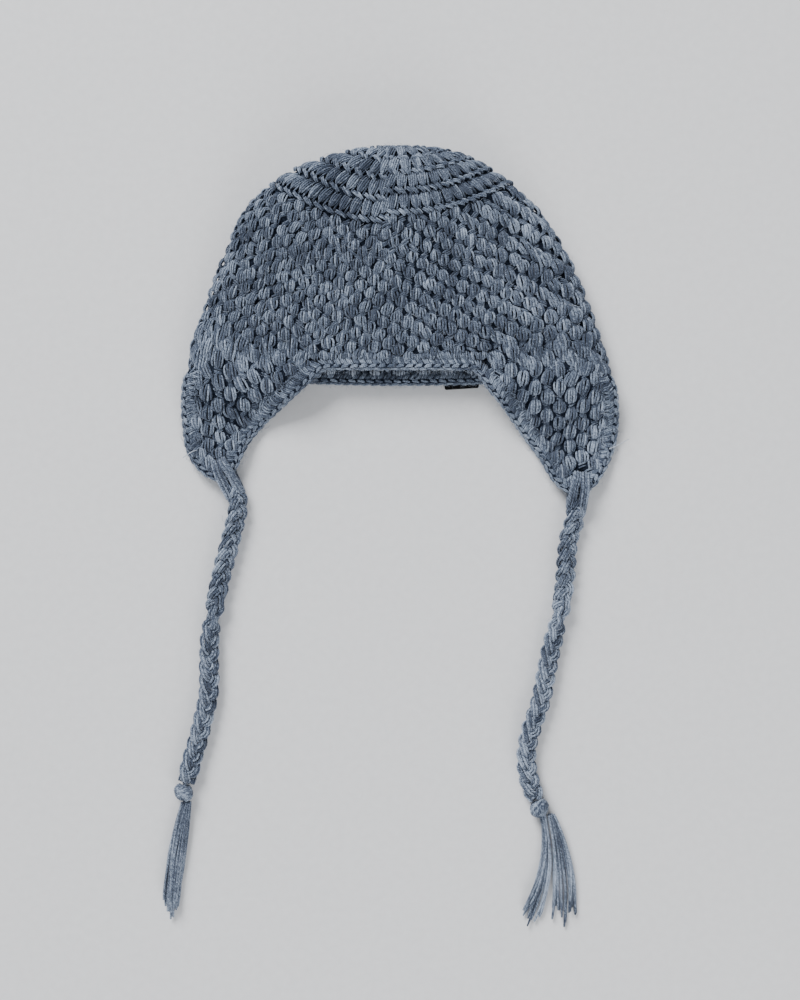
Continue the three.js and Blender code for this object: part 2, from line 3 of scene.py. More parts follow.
import bmesh
import bpy
import numpy as np
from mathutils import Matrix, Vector


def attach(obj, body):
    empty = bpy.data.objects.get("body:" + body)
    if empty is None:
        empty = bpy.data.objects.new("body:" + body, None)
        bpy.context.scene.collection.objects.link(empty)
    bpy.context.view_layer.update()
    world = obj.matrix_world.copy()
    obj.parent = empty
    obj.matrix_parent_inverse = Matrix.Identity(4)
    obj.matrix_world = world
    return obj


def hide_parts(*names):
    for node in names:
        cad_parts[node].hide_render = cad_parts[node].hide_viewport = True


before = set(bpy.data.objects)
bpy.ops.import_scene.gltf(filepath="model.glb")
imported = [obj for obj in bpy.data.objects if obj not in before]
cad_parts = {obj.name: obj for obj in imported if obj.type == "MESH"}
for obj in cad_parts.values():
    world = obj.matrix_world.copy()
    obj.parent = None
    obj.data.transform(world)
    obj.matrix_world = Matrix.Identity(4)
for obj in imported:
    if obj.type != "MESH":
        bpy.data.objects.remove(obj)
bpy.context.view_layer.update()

# A crocheted cap with ear flaps and braided ties, lying flattened on its back wall.
# The shapes are worked out in millimetres, from the middle of the cap's plan; placed() brings
# them to metres in the part's own frame.
MM = 0.001
PLACE = np.array([0.35, 5.1, 0.0])
SIDES = ("left", "right")
HAND = {"left": -1, "right": 1}
UP = np.array([0, 0, 1.0])           # off the surface that the cap lies on
IMAGE_UP = np.array([0, 1.0, 0])     # towards the crown


def shown(name, data):
    """A new object in the scene that carries the data."""
    thing = bpy.data.objects.new(name, data)
    bpy.context.scene.collection.objects.link(thing)
    return thing


def draws(seed, side="left"):
    """The random draws of one piece, the same on every run; the right side has the next seed."""
    return np.random.default_rng(seed + SIDES.index(side))


# ---------------- camera

camera_data = bpy.data.cameras.new("camera overhead")
camera_data.lens = 50
camera_data.sensor_fit = "VERTICAL"
camera_data.sensor_height = 36
camera = shown("camera overhead", camera_data)
camera.location = (-0.00015, -0.0859, 0.6944)
bpy.context.scene.camera = camera

# ---------------- measures of the cap

WALL = 4.0              # thickness of the fabric
GAP = 0.3               # between the fabric and its border, and between a braid and its knot
SEAM_GAP = 0.7          # between the front rim and the top of a flap
FLAP_SPACE = 0.5        # between a flap and its border
EDGING_WIDE = 4.2
FOLD_DEPTH = 14         # how far in from its edge a side fold is round
DENT = {"x": 0, "y": 14, "radius": 30, "depth": 3.0}
TIP_PART = 0.455        # share of a flap's outline on each side of its tip
TIP_EASE = 0.6          # more space round the tip
FOLD_EASE = 0.6         # and at the folds
FLAP_LIES = 0.62        # share of the way down where a flap comes to lie
FLAP_REST = {"middle": 2.4, "tip": 5.4}
SEAM_TURN = 6           # how soon a flap leaves the slope of the front wall
CROWN_END = 5           # section on which the crown's rounds end
RIM = 10                # section of the rim
LABEL = {"x": 30, "across": 0.3, "wide": 17, "long": 13, "thick": 0.9, "showing": 2.3,
         "lift": 0.25, "askew": 3.5}

# Sections from the crown's centre to the rim: fold points left and right (x, y), front y, back y
CAP_PLAN = np.array([
    [-3.0, 82.4, -3.0, 82.4, 82.4, 82.4],
    [-16.7, 81.5, 14.0, 81.5, 79.4, 79.2],
    [-28.5, 79.2, 26.5, 79.3, 71.0, 69.0],
    [-41.3, 75.9, 36.8, 75.7, 62.9, 60.0],
    [-54.1, 70.9, 46.0, 70.6, 52.7, 47.0],
    [-66.5, 62.4, 56.5, 63.4, 42.3, 34.0],
    [-78.2, 50.2, 69.0, 50.2, 29.1, 20.5],
    [-87.0, 31.2, 81.4, 31.0, 16.0, 8.0],
    [-94.4, 12.8, 90.0, 12.8, 2.8, -4.5],
    [-100.6, -5.9, 97.0, -6.2, -10.5, -17.0],
    [-105.4, -23.5, 103.2, -25.5, -22.8, -29.2],
])
# Heights of the same sections: folds, front, back
CAP_HEIGHTS = np.array([
    [14.0, 14.0, 14.0], [14.0, 22.4, 5.8], [13.6, 27.6, 0.6], [12.6, 28.8, 0.0],
    [11.6, 29.0, 0.0], [10.6, 28.4, 0.0], [9.6, 26.8, 0.0], [8.6, 24.6, 0.0],
    [7.9, 22.6, 0.0], [7.3, 20.2, 0.0], [6.8, 17.0, 0.0],
])
# Outer outline of each flap with its border, from the fold round the tip to the front rim
FLAP_OUTLINES = {
    "left": [(-106.8, -27.5), (-108.4, -41.0), (-108.2, -56.0), (-106.9, -66.0), (-101.3, -75.3),
             (-93.2, -81.0), (-86.0, -81.4), (-81.4, -74.6), (-75.6, -62.4), (-67.1, -52.4),
             (-55.9, -42.8), (-43.5, -32.2)],
    "right": [(105.0, -29.5), (107.0, -41.0), (107.6, -54.0), (105.9, -66.0), (101.0, -77.0),
              (93.4, -86.4), (84.4, -88.0), (76.0, -82.4), (69.0, -70.4), (58.8, -57.0),
              (49.8, -45.0), (40.6, -34.8)],
}
FLAP_ACROSS = {"left": (-0.96, -0.42), "right": (0.96, 0.42)}
TIE_HOLE = {"left": (-90.4, -71.8), "right": (89.2, -78.4)}
TIE_START = {"left": (-83.6, -85.2), "right": (87.4, -91.5)}

BRAID_ROUTES = {
    "left": [(-81.4, -87.2), (-81.0, -95.0), (-82.9, -104.0), (-85.4, -114.0), (-88.2, -124.0),
             (-90.8, -135.5), (-93.2, -148.0), (-94.9, -160.0), (-95.4, -174.0), (-95.4, -186.0),
             (-97.8, -198.0), (-100.8, -210.0), (-104.0, -221.0), (-106.6, -231.0)],
    "right": [(87.2, -93.4), (86.2, -101.0), (83.6, -109.0), (82.4, -118.0), (81.7, -128.0),
              (80.2, -140.0), (77.8, -152.0), (74.6, -165.0), (71.9, -178.0), (69.4, -191.0),
              (65.2, -203.0), (62.6, -214.0), (62.5, -223.0), (64.2, -232.0), (66.8, -239.0)],
}
BRAID_HEIGHT = 4.6
KNOT = {"long": 10.0, "wide": 11.0, "thick": 8.6}
# Loose ends below each knot: x, y, height at the end, sideways belly
TASSEL_HEADS = {"left": (-107.8, -246.0, 3.5), "right": (74.3, -252.2, 3.5)}
TASSEL_ENDS = {
    "left": [(-116.6, -291.0, 1.9, -5.2), (-115.0, -294.0, 1.9, -3.6), (-113.4, -295.0, 1.9, -2.0),
             (-111.8, -293.0, 1.9, -0.4), (-115.8, -290.0, 4.0, -4.4), (-114.2, -292.0, 4.2, -2.8),
             (-112.6, -289.0, 4.0, -1.2)],
    "right": [(61.6, -295.0, 1.8, 8.0), (64.2, -299.5, 1.8, 8.6), (68.4, -299.5, 1.8, 7.6),
              (76.6, -297.0, 1.8, 3.6), (82.2, -298.0, 1.8, 5.0), (86.2, -297.5, 1.8, 6.4),
              (63.6, -293.0, 4.0, 9.0), (84.4, -294.0, 4.0, 6.2)],
}


def placed(points):
    """Millimetres of the cap's plan as metres of the part's frame."""
    return (np.asarray(points, float) + PLACE) * MM


def unit(vectors):
    return vectors / np.maximum(np.linalg.norm(vectors, axis=-1, keepdims=True), 1e-9)


def to_left(heading):
    """The level direction to the left of a heading."""
    return np.stack([-heading[..., 1], heading[..., 0], 0 * heading[..., 0]], -1)


def smooth_step(low, high, value):
    part = np.clip((np.asarray(value, float) - low) / (high - low), 0, 1)
    return part * part * (3 - 2 * part)


# ---------------- surface of the cap

def table_rows(table, at):
    """Smooth values between the rows of a table."""
    at = np.asarray(at, float)
    index = np.clip(np.floor(at).astype(int), 0, len(table) - 2)
    rows = np.vstack([2 * table[0] - table[1], table, 2 * table[-1] - table[-2]])
    before, here, after, beyond = (rows[index + i] for i in range(4))
    part = (at - index)[..., None]
    square, cube = part ** 2, part ** 3
    return ((2 * cube - 3 * square + 1) * here + (cube - 2 * square + part) * (after - before) / 2
            + (3 * square - 2 * cube) * after + (cube - square) * (beyond - here) / 2)


def cap_surface(at, angle):
    """Outer face, by section and angle: 0 at the left fold, half a turn over the front to the
    right fold, then the back."""
    at, angle = np.broadcast_arrays(np.asarray(at, float), np.asarray(angle, float))
    left_x, left_y, right_x, right_y, front_y, back_y = np.moveaxis(table_rows(CAP_PLAN, at), -1, 0)
    fold, front, back = np.moveaxis(table_rows(CAP_HEIGHTS, at), -1, 0)
    across = -np.cos(angle)
    on_front = np.sin(angle) >= 0
    half = (right_x - left_x) / 2
    flat = np.maximum(0, 1 - FOLD_DEPTH / np.maximum(half, FOLD_DEPTH))
    in_fold = np.maximum(0, (np.abs(across) - flat) / (1 - flat))
    rise = np.sqrt(np.maximum(0, 1 - in_fold ** 2))
    fold_y = left_y + (right_y - left_y) * (across + 1) / 2
    middle_y = np.where(on_front, front_y, back_y)
    x = (left_x + right_x) / 2 + half * across
    y = middle_y + (fold_y - middle_y) * across ** 2
    away = np.hypot(x - DENT["x"], y - DENT["y"]) / DENT["radius"]
    front_z = (fold + np.minimum(fold, front - fold) * rise
               + np.maximum(0, front - 2 * fold) * (1 - across ** 2)
               - DENT["depth"] * np.exp(-away ** 2) * rise)
    back_z = fold + (back - fold) * rise
    return np.stack([x, y, np.where(on_front, front_z, back_z)], -1)


def cap_along(at, angle):
    at = np.asarray(at, float)
    return unit(cap_surface(at + 0.02, angle) - cap_surface(np.maximum(at - 0.02, 0.01), angle))


def cap_normal(at, angle):
    angle = np.asarray(angle, float)
    around = cap_surface(at, angle + 0.02) - cap_surface(at, angle - 0.02)
    return unit(np.cross(cap_along(at, angle), around))


def cap_point(at, angle, depth):
    return cap_surface(at, angle) - cap_normal(at, angle) * depth


def rim_station(across, is_front, beyond):
    """The middle of the wall at the rim or beyond it, with its outward side."""
    across = np.asarray(across, float)
    angle = np.arccos(-across) if is_front else 2 * math.pi - np.arccos(-across)
    along = cap_along(RIM, angle)
    beyond = np.asarray(beyond, float)[..., None] if np.ndim(beyond) else beyond
    return cap_point(RIM, angle, WALL / 2) + along * beyond, cap_normal(RIM, angle)


# ---------------- smooth lines

def smooth_line(points, steps=24):
    """A centripetal curve through the points, as a fine polyline."""
    points = np.asarray(points, float)
    padded = np.vstack([2 * points[0] - points[1], points, 2 * points[-1] - points[-2]])
    out = []
    for i in range(len(points) - 1):
        p0, p1, p2, p3 = padded[i:i + 4]
        d0, d1, d2 = (max(np.linalg.norm(padded[i + k + 1] - padded[i + k]) ** 0.5, 1e-4)
                      for k in range(3))
        t1 = ((p1 - p0) / d0 - (p2 - p0) / (d0 + d1) + (p2 - p1) / d1) * d1
        t2 = ((p2 - p1) / d1 - (p3 - p1) / (d1 + d2) + (p3 - p2) / d2) * d1
        t = (np.arange(steps) / steps)[:, None]
        out.append((2 * t ** 3 - 3 * t ** 2 + 1) * p1 + (t ** 3 - 2 * t ** 2 + t) * t1
                   + (3 * t ** 2 - 2 * t ** 3) * p2 + (t ** 3 - t ** 2) * t2)
    out.append(points[-1:])
    return np.vstack(out)


def lengths_of(line):
    return np.concatenate([[0], np.cumsum(np.linalg.norm(np.diff(line, axis=0), axis=1))])


def along_line(line, lengths, where):
    return np.stack([np.interp(where, lengths, line[:, i]) for i in range(line.shape[1])], -1)


def headings(line):
    return unit(np.gradient(line, axis=0))


def looped(line):
    """A closed line with its first point once more at the end."""
    return np.vstack([line, line[:1]])


def ring_headings(line):
    """The headings of a closed line."""
    return unit(np.roll(line, -1, 0) - np.roll(line, 1, 0))


# ---------------- surface of the flaps

OUTLINES = {}
for side_name, outline in FLAP_OUTLINES.items():
    fine = smooth_line([(x, y, 0.0) for x, y in outline], 60)
    fine_lengths = lengths_of(fine)
    OUTLINES[side_name] = (fine, fine_lengths / fine_lengths[-1], headings(fine))


def inset_outline(side, part, inset):
    """Points at shares of a flap's outline, moved in from it."""
    line, parts, heading = OUTLINES[side]
    inward = to_left(unit(along_line(heading, parts, part))) * -HAND[side]
    inset = np.asarray(inset)[..., None] if np.ndim(inset) else inset
    return along_line(line, parts, part) + inward * inset


def rim_above(side, across):
    outer, inner = FLAP_ACROSS[side]
    return rim_station(outer + (inner - outer) * np.asarray(across, float), True, SEAM_GAP)


def flap_middle(side, across, down):
    """The middle of a flap's fabric, by shares of the way across and down from the front rim."""
    across, down = np.broadcast_arrays(np.asarray(across, float), np.asarray(down, float))
    inset = EDGING_WIDE + FLAP_SPACE + TIP_EASE * smooth_step(0.7, 1, down)
    outer = inset_outline(side, TIP_PART * down, inset)
    inner = inset_outline(side, 1 - TIP_PART * down, inset)
    share = across[..., None]
    ruled = outer + (inner - outer) * share
    rim = rim_above(side, across)[0]
    top_outer = inset_outline(side, 0 * down, inset)
    top_inner = inset_outline(side, 0 * down + 1, inset)
    hold = ((1 - down) ** 3)[..., None]
    moved = ruled + (rim - (top_outer + (top_inner - top_outer) * share)) * hold
    rise = FLAP_REST["tip"] - FLAP_REST["middle"]
    resting = FLAP_REST["middle"] + rise * smooth_step(FLAP_LIES, 0.9, down)
    moved[..., 2] = rim[..., 2] + (resting - rim[..., 2]) * smooth_step(0, FLAP_LIES, down)
    return moved


def flap_normal(side, across, down):
    across, down = np.broadcast_arrays(np.asarray(across, float), np.asarray(down, float))
    step = 0.02
    sideways = (flap_middle(side, np.minimum(across + step, 1), down)
                - flap_middle(side, np.maximum(across - step, 0), down))
    along = (flap_middle(side, across, np.minimum(down + step, 1))
             - flap_middle(side, across, np.maximum(down - step, 0)))
    normal = unit(np.cross(along, sideways)) * -HAND[side]
    share = ((1 - down) ** SEAM_TURN)[..., None]
    return unit(normal * (1 - share) + rim_above(side, across)[1] * share)


# ---------------- node helpers

def put(tree, kind, inputs=None, **settings):
    node = tree.nodes.new(kind)
    for key, value in settings.items():
        setattr(node, key, value)
    for key, value in (inputs or {}).items():
        socket = node.inputs[key]
        if isinstance(value, bpy.types.NodeSocket):
            tree.links.new(value, socket)
        else:
            socket.default_value = value
    return node


def vector_of(tree, operation, *inputs):
    return put(tree, "ShaderNodeVectorMath", dict(enumerate(inputs)),
               operation=operation).outputs[0]


def sum_of(tree, total, *others):
    for other in others:
        total = vector_of(tree, "ADD", total, other)
    return total


def scaled(tree, vector, factor):
    return put(tree, "ShaderNodeVectorMath", {0: vector, "Scale": factor},
               operation="SCALE").outputs[0]


def math_of(tree, operation, *inputs):
    return put(tree, "ShaderNodeMath", dict(enumerate(inputs)), operation=operation).outputs[0]


def plus(tree, total, *others):
    for other in others:
        total = math_of(tree, "ADD", total, other)
    return total


def minus(tree, first, second):
    return math_of(tree, "SUBTRACT", first, second)


def times(tree, product, *others):
    for other in others:
        product = math_of(tree, "MULTIPLY", product, other)
    return product


def new_tree(name, inputs):
    tree = bpy.data.node_groups.new(name, "GeometryNodeTree")
    tree.interface.new_socket("Geometry", in_out="INPUT", socket_type="NodeSocketGeometry")
    for label, kind, value in inputs:
        socket = tree.interface.new_socket(label, in_out="INPUT", socket_type=kind)
        if value is not None:
            socket.default_value = value
    tree.interface.new_socket("Geometry", in_out="OUTPUT", socket_type="NodeSocketGeometry")
    given = tree.nodes.new("NodeGroupInput")
    return tree, given.outputs


def named(tree, name, kind):
    node = put(tree, "GeometryNodeInputNamedAttribute", {"Name": name}, data_type=kind)
    return node.outputs["Attribute"]


def stored(tree, geometry, name, kind, value):
    node = put(tree, "GeometryNodeStoreNamedAttribute", {"Geometry": geometry, "Name": name},
               data_type=kind, domain="POINT")
    tree.links.new(value, node.inputs["Value"])
    return node.outputs["Geometry"]


def finished(tree, geometry, ring, along, material):
    """Every point keeps its place on its yarn, round it and along it, for the material."""
    place = put(tree, "ShaderNodeCombineXYZ",
                {0: ring.outputs["X"], 1: ring.outputs["Y"], 2: along}).outputs[0]
    marked = stored(tree, geometry, "yarn", "FLOAT_VECTOR", place)
    smooth = put(tree, "GeometryNodeSetShadeSmooth", {"Geometry": marked})
    real = put(tree, "GeometryNodeRealizeInstances", {"Geometry": smooth.outputs[0]})
    dressed = put(tree, "GeometryNodeSetMaterial",
                  {"Geometry": real.outputs[0], "Material": material})
    end = tree.nodes.new("NodeGroupOutput")
    tree.links.new(dressed.outputs[0], end.inputs[0])
    return tree


END_TAPER = 0.45       # how much thinner a ply is at its ends


def circle(tree, sides):
    return put(tree, "GeometryNodeCurvePrimitiveCircle",
               {"Resolution": sides, "Radius": 1.0}).outputs[0]


def stitch_tree():
    """Every point of the mesh becomes one ply of yarn, bent between its four control points."""
    tree, given = new_tree("stitch plies", [
        ("Sides", "NodeSocketInt", 5), ("Rings", "NodeSocketInt", 7),
        ("End Taper", "NodeSocketFloat", END_TAPER), ("Yarn", "NodeSocketMaterial", None)])
    line = put(tree, "GeometryNodeCurvePrimitiveLine", {"Start": (0, 0, 0), "End": (0, 0, 1)})
    even = put(tree, "GeometryNodeResampleCurve",
               {"Curve": line.outputs[0], "Count": given["Rings"]})
    tube = put(tree, "GeometryNodeCurveToMesh",
               {"Curve": even.outputs[0], "Profile Curve": circle(tree, given["Sides"]),
                "Fill Caps": True})
    place = put(tree, "GeometryNodeInputPosition").outputs[0]
    marked = stored(tree, tube.outputs[0], "yarn", "FLOAT_VECTOR", place)
    laid = put(tree, "GeometryNodeInstanceOnPoints",
               {"Points": given["Geometry"], "Instance": marked})
    real = put(tree, "GeometryNodeRealizeInstances", {"Geometry": laid.outputs[0]})
    on_ring = put(tree, "ShaderNodeSeparateXYZ", {0: named(tree, "yarn", "FLOAT_VECTOR")})
    # the middle of the ply and its heading: a cubic Bezier curve at t
    t = on_ring.outputs["Z"]
    rest = minus(tree, 1.0, t)
    bends = [named(tree, "bend_%d" % i, "FLOAT_VECTOR") for i in range(4)]
    tt, rr, tr = (times(tree, a, b) for a, b in ((t, t), (rest, rest), (t, rest)))
    weights = [times(tree, rr, rest), times(tree, tr, rest, 3.0), times(tree, tr, t, 3.0),
               times(tree, tt, t)]
    middle = sum_of(tree, *(scaled(tree, *pair) for pair in zip(bends, weights)))
    steps = [vector_of(tree, "SUBTRACT", after, before) for before, after in zip(bends, bends[1:])]
    heading = sum_of(tree, *(scaled(tree, *pair)
                             for pair in zip(steps, (rr, times(tree, tr, 2.0), tt))))
    forward = vector_of(tree, "NORMALIZE", heading)
    sideways = vector_of(tree, "CROSS_PRODUCT", forward, named(tree, "outward", "FLOAT_VECTOR"))
    side = vector_of(tree, "NORMALIZE", sideways)
    face = vector_of(tree, "CROSS_PRODUCT", forward, side)
    ends = math_of(tree, "ABSOLUTE", minus(tree, times(tree, t, 2.0), 1.0))
    taper = minus(tree, 1.0, times(tree, math_of(tree, "POWER", ends, 5.0), given["End Taper"]))
    radius = times(tree, named(tree, "ply", "FLOAT"), taper)
    offset = sum_of(tree, scaled(tree, side, on_ring.outputs["X"]),
                    scaled(tree, face, on_ring.outputs["Y"]))
    position = sum_of(tree, middle, scaled(tree, offset, radius))
    bent = put(tree, "GeometryNodeSetPosition",
               {"Geometry": real.outputs[0], "Position": position})
    along = times(tree, t, named(tree, "reach", "FLOAT"))
    return finished(tree, bent.outputs[0], on_ring, along, given["Yarn"])


def length_tree():
    """Every line of edges becomes a length of yarn."""
    tree, given = new_tree("yarn lengths", [
        ("Sides", "NodeSocketInt", 7), ("Yarn", "NodeSocketMaterial", None)])
    curve = put(tree, "GeometryNodeMeshToCurve", {"Mesh": given["Geometry"]})
    place = put(tree, "GeometryNodeInputPosition").outputs[0]
    marked = stored(tree, circle(tree, given["Sides"]), "round_ply", "FLOAT_VECTOR", place)
    spot = put(tree, "GeometryNodeSplineParameter").outputs["Length"]
    measured = stored(tree, curve.outputs[0], "run", "FLOAT", spot)
    ply = named(tree, "ply", "FLOAT")
    tube = put(tree, "GeometryNodeCurveToMesh",
               {"Curve": measured, "Profile Curve": marked, "Scale": ply, "Fill Caps": True})
    around = put(tree, "ShaderNodeSeparateXYZ", {0: named(tree, "round_ply", "FLOAT_VECTOR")})
    run = math_of(tree, "DIVIDE", named(tree, "run", "FLOAT"), ply)
    return finished(tree, tube.outputs[0], around, run, given["Yarn"])


STITCH_PLIES = stitch_tree()
YARN_LENGTHS = length_tree()


def grown(name, mesh, tree, inputs, spent):
    """The mesh run through a tree, as a plain mesh on an object at the origin."""
    piece = shown(name, mesh)
    modifier = piece.modifiers.new(tree.name, "NODES")
    modifier.node_group = tree
    sockets = {item.name: item.identifier for item in tree.interface.items_tree
               if item.item_type == "SOCKET" and item.in_out == "INPUT"}
    for label, value in inputs.items():
        modifier[sockets[label]] = value
    graph = bpy.context.evaluated_depsgraph_get()
    result = bpy.data.meshes.new_from_object(
        piece.evaluated_get(graph), preserve_all_data_layers=True, depsgraph=graph)
    piece.modifiers.remove(modifier)
    piece.data = result
    result.name = name
    for attribute in spent:
        if attribute in result.attributes:
            result.attributes.remove(result.attributes[attribute])
    return piece


def set_attribute(mesh, name, kind, values):
    attribute = mesh.attributes.new(name, kind, "POINT")
    field = "vector" if kind == "FLOAT_VECTOR" else "value"
    attribute.data.foreach_set(field, np.asarray(values, np.float32).ravel())


class Plies:
    """Collects the plies of one piece: control points in millimetres, outward side, radius and
    tint."""

    def __init__(self):
        self.rows = []

    def add(self, controls, outward, radius, tint):
        count = len(controls[0])
        self.rows.append((np.stack(controls, 1), np.broadcast_to(outward, (count, 3)),
                          np.broadcast_to(radius, count), np.broadcast_to(tint, count)))

    def lay(self, random, controls, outward, radius, vary, tint, stray):
        """Plies whose radii vary and whose tints stray from the given ones."""
        count = len(controls[0])
        radius = radius * random.uniform(*vary, count)
        self.add(controls, outward, radius, np.clip(tint + random.normal(*stray, count), 0, 1))

    def piece(self, name, material, sides=5, rings=7):
        controls, outward, radius, tint = (np.concatenate(data) for data in zip(*self.rows))
        controls, radius = placed(controls), radius * MM
        mesh = bpy.data.meshes.new(name)
        mesh.from_pydata(controls[:, 0].tolist(), [], [])
        bends = ["bend_%d" % i for i in range(4)]
        for i, bend in enumerate(bends):
            set_attribute(mesh, bend, "FLOAT_VECTOR", controls[:, i])
        reach = np.linalg.norm(np.diff(controls, axis=1), axis=2).sum(1) / radius
        set_attribute(mesh, "outward", "FLOAT_VECTOR", outward)
        for label, values in (("ply", radius), ("reach", reach), ("tint", tint)):
            set_attribute(mesh, label, "FLOAT", values)
        inputs = {"Sides": sides, "Rings": rings, "End Taper": END_TAPER, "Yarn": material}
        return grown(name, mesh, STITCH_PLIES, inputs, bends + ["outward", "ply", "reach"])


def yarns(name, lengths, material, sides=7, closed=False):
    """Lengths of yarn: each a polyline in millimetres with its radius and tint."""
    points, edges, ply, tint = [], [], [], []
    first = 0
    for line, radius, shade in lengths:
        count = len(line)
        points.append(placed(line))
        ply.append(np.broadcast_to(radius, count) * MM)
        tint.append(np.full(count, shade))
        edges.extend((first + i, first + i + 1) for i in range(count - 1))
        if closed:
            edges.append((first + count - 1, first))
        first += count
    mesh = bpy.data.meshes.new(name)
    mesh.from_pydata(np.vstack(points).tolist(), edges, [])
    set_attribute(mesh, "ply", "FLOAT", np.concatenate(ply))
    set_attribute(mesh, "tint", "FLOAT", np.concatenate(tint))
    return grown(name, mesh, YARN_LENGTHS, {"Sides": sides, "Yarn": material},
                 ["ply", "run", "round_ply"])


def joined(name, pieces):
    """Several finished meshes as one piece."""
    for other in bpy.context.selected_objects:
        other.select_set(False)
    for piece in pieces:
        piece.select_set(True)
    bpy.context.view_layer.objects.active = pieces[0]
    bpy.ops.object.join()
    pieces[0].name = name
    return pieces[0]


def dress(piece, *nodes, slot="yarn"):
    """Says what a piece rides and which nodes it stands for; slot is not used."""
    if nodes:
        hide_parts(*nodes)
    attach(piece, "root")
    return piece


# ---------------- materials

def ramp(tree, factor, stops):
    node = put(tree, "ShaderNodeValToRGB", {0: factor})
    while len(node.color_ramp.elements) < len(stops):
        node.color_ramp.elements.new(0.5)
    for element, (position, colour) in zip(node.color_ramp.elements, stops):
        element.position = position
        element.color = (*colour, 1)
    return node.outputs[0]


def noise(tree, vector, scale, detail):
    return put(tree, "ShaderNodeTexNoise",
               {"Vector": vector, "Scale": scale, "Detail": detail}).outputs[0]


def object_place(tree):
    return put(tree, "ShaderNodeTexCoord").outputs["Object"]


def new_material(name, looks):
    """A material with one principled shader; looks are the constants on its own sockets."""
    material = bpy.data.materials.new(name)
    material.use_nodes = True
    tree = material.node_tree
    tree.nodes.clear()
    shader = put(tree, "ShaderNodeBsdfPrincipled", looks)
    output = put(tree, "ShaderNodeOutputMaterial")
    tree.links.new(shader.outputs[0], output.inputs[0])
    return material, tree, shader


def painted(tree, shader, factor, stops):
    tree.links.new(ramp(tree, factor, stops), shader.inputs["Base Color"])


def raised(tree, shader, height, strength, distance):
    bump = put(tree, "ShaderNodeBump",
               {"Height": height, "Strength": strength, "Distance": distance})
    tree.links.new(bump.outputs[0], shader.inputs["Normal"])


def wool_yarn(name, deep, middle, pale, softness=1.0):
    """Heathered wool: pale and dark fibres that wind along each ply. The softer it is, the less
    the fibres differ."""
    material, tree, shader = new_material(name, {
        "Roughness": 0.92, "Specular IOR Level": 0.15, "Sheen Weight": 0.35,
        "Sheen Roughness": 0.6, "Sheen Tint": (0.75, 0.82, 0.95, 1)})
    yarn = put(tree, "ShaderNodeAttribute", attribute_name="yarn").outputs["Vector"]
    tint = put(tree, "ShaderNodeAttribute", attribute_name="tint").outputs["Fac"]
    run = put(tree, "ShaderNodeSeparateXYZ", {0: yarn}).outputs["Z"]
    wound = put(tree, "ShaderNodeVectorRotate",
                {"Vector": yarn, "Angle": times(tree, run, FIBRE_TWIST)},
                rotation_type="Z_AXIS").outputs[0]
    apart = put(tree, "ShaderNodeCombineXYZ", {2: times(tree, tint, 91.0)}).outputs[0]
    fibres = sum_of(tree, vector_of(tree, "MULTIPLY", wound, FIBRE_STRETCH), apart)
    strand, fine = noise(tree, fibres, 1.5, 2.0), noise(tree, fibres, 4.6, 3.0)
    patch = noise(tree, object_place(tree), 60.0, 2.0)
    shade = plus(tree, times(tree, strand, 0.55), times(tree, fine, 0.45),
                 times(tree, minus(tree, patch, 0.5), 0.25),
                 times(tree, minus(tree, tint, 0.5), 0.15))
    half = 0.16 * softness
    painted(tree, shader, shade, [(0.5 - half, deep), (0.5, middle), (0.5 + half, pale)])
    raised(tree, shader, plus(tree, strand, times(tree, fine, 0.8)), 0.7, 0.0004)
    return material


def painted_shade_backing():
    """The fabric seen down between the stitches, near black as painted shade for the gaps."""
    material, tree, shader = new_material(
        "wool in painted shade", {"Roughness": 1.0, "Specular IOR Level": 0.05})
    fuzz = noise(tree, object_place(tree), 900.0, 4.0)
    painted(tree, shader, fuzz, [(0.35, (0.004, 0.006, 0.012)), (0.7, (0.020, 0.028, 0.046))])
    raised(tree, shader, fuzz, 0.8, 0.0006)
    return material


def label_cloth():
    """A plain dark weave."""
    material, tree, shader = new_material(
        "woven label cloth", {"Roughness": 0.95, "Specular IOR Level": 0.15})
    threads = {"Vector": object_place(tree), "Scale": 700.0, "Distortion": 0.4}
    warp, weft = (put(tree, "ShaderNodeTexWave", threads, bands_direction=way).outputs["Fac"]
                  for way in "XY")
    weave = times(tree, warp, weft)
    painted(tree, shader, weave, [(0.0, (0.003, 0.003, 0.004)), (1.0, (0.012, 0.013, 0.015))])
    raised(tree, shader, weave, 0.5, 0.0002)
    return material


def floor_paper():
    material, tree, shader = new_material(
        "pale paper floor", {"Roughness": 0.9, "Specular IOR Level": 0.1})
    grain = noise(tree, object_place(tree), 250.0, 4.0)
    painted(tree, shader, grain, [(0.3, (0.78, 0.79, 0.81)), (0.7, (0.82, 0.83, 0.85))])
    return material


FIBRE_TWIST = 0.9                    # turn of the fibres in a length of one radius
FIBRE_STRETCH = (1.0, 1.0, 0.36)     # they are longer than they are wide
DEEP, MIDDLE, PALE = (0.012, 0.021, 0.045), (0.063, 0.087, 0.137), (0.400, 0.480, 0.610)
WOOL = wool_yarn("heathered blue wool", DEEP, MIDDLE, PALE, 0.8)
WOOL_TIES = wool_yarn("heathered blue wool of the ties", DEEP, (0.076, 0.102, 0.157), PALE, 0.6)
# a lighter copy of the wool: painted light for the inside near the rim, shaded by the front wall
WOOL_INSIDE_PAINTED_LIGHTER = wool_yarn("heathered blue wool, inner side painted lighter",
                        (0.07, 0.09, 0.14), (0.30, 0.36, 0.46), (0.66, 0.73, 0.84))
# near-black wool: painted shade for every sheet and core seen only down in the gaps
PAINTED_SHADE_WOOL = painted_shade_backing()
PALE_FIBRE = wool_yarn("pale loose fibre",
                       (0.20, 0.25, 0.34), (0.42, 0.48, 0.58), (0.72, 0.76, 0.82))
LABEL_CLOTH = label_cloth()

# ---------------- the braided ties

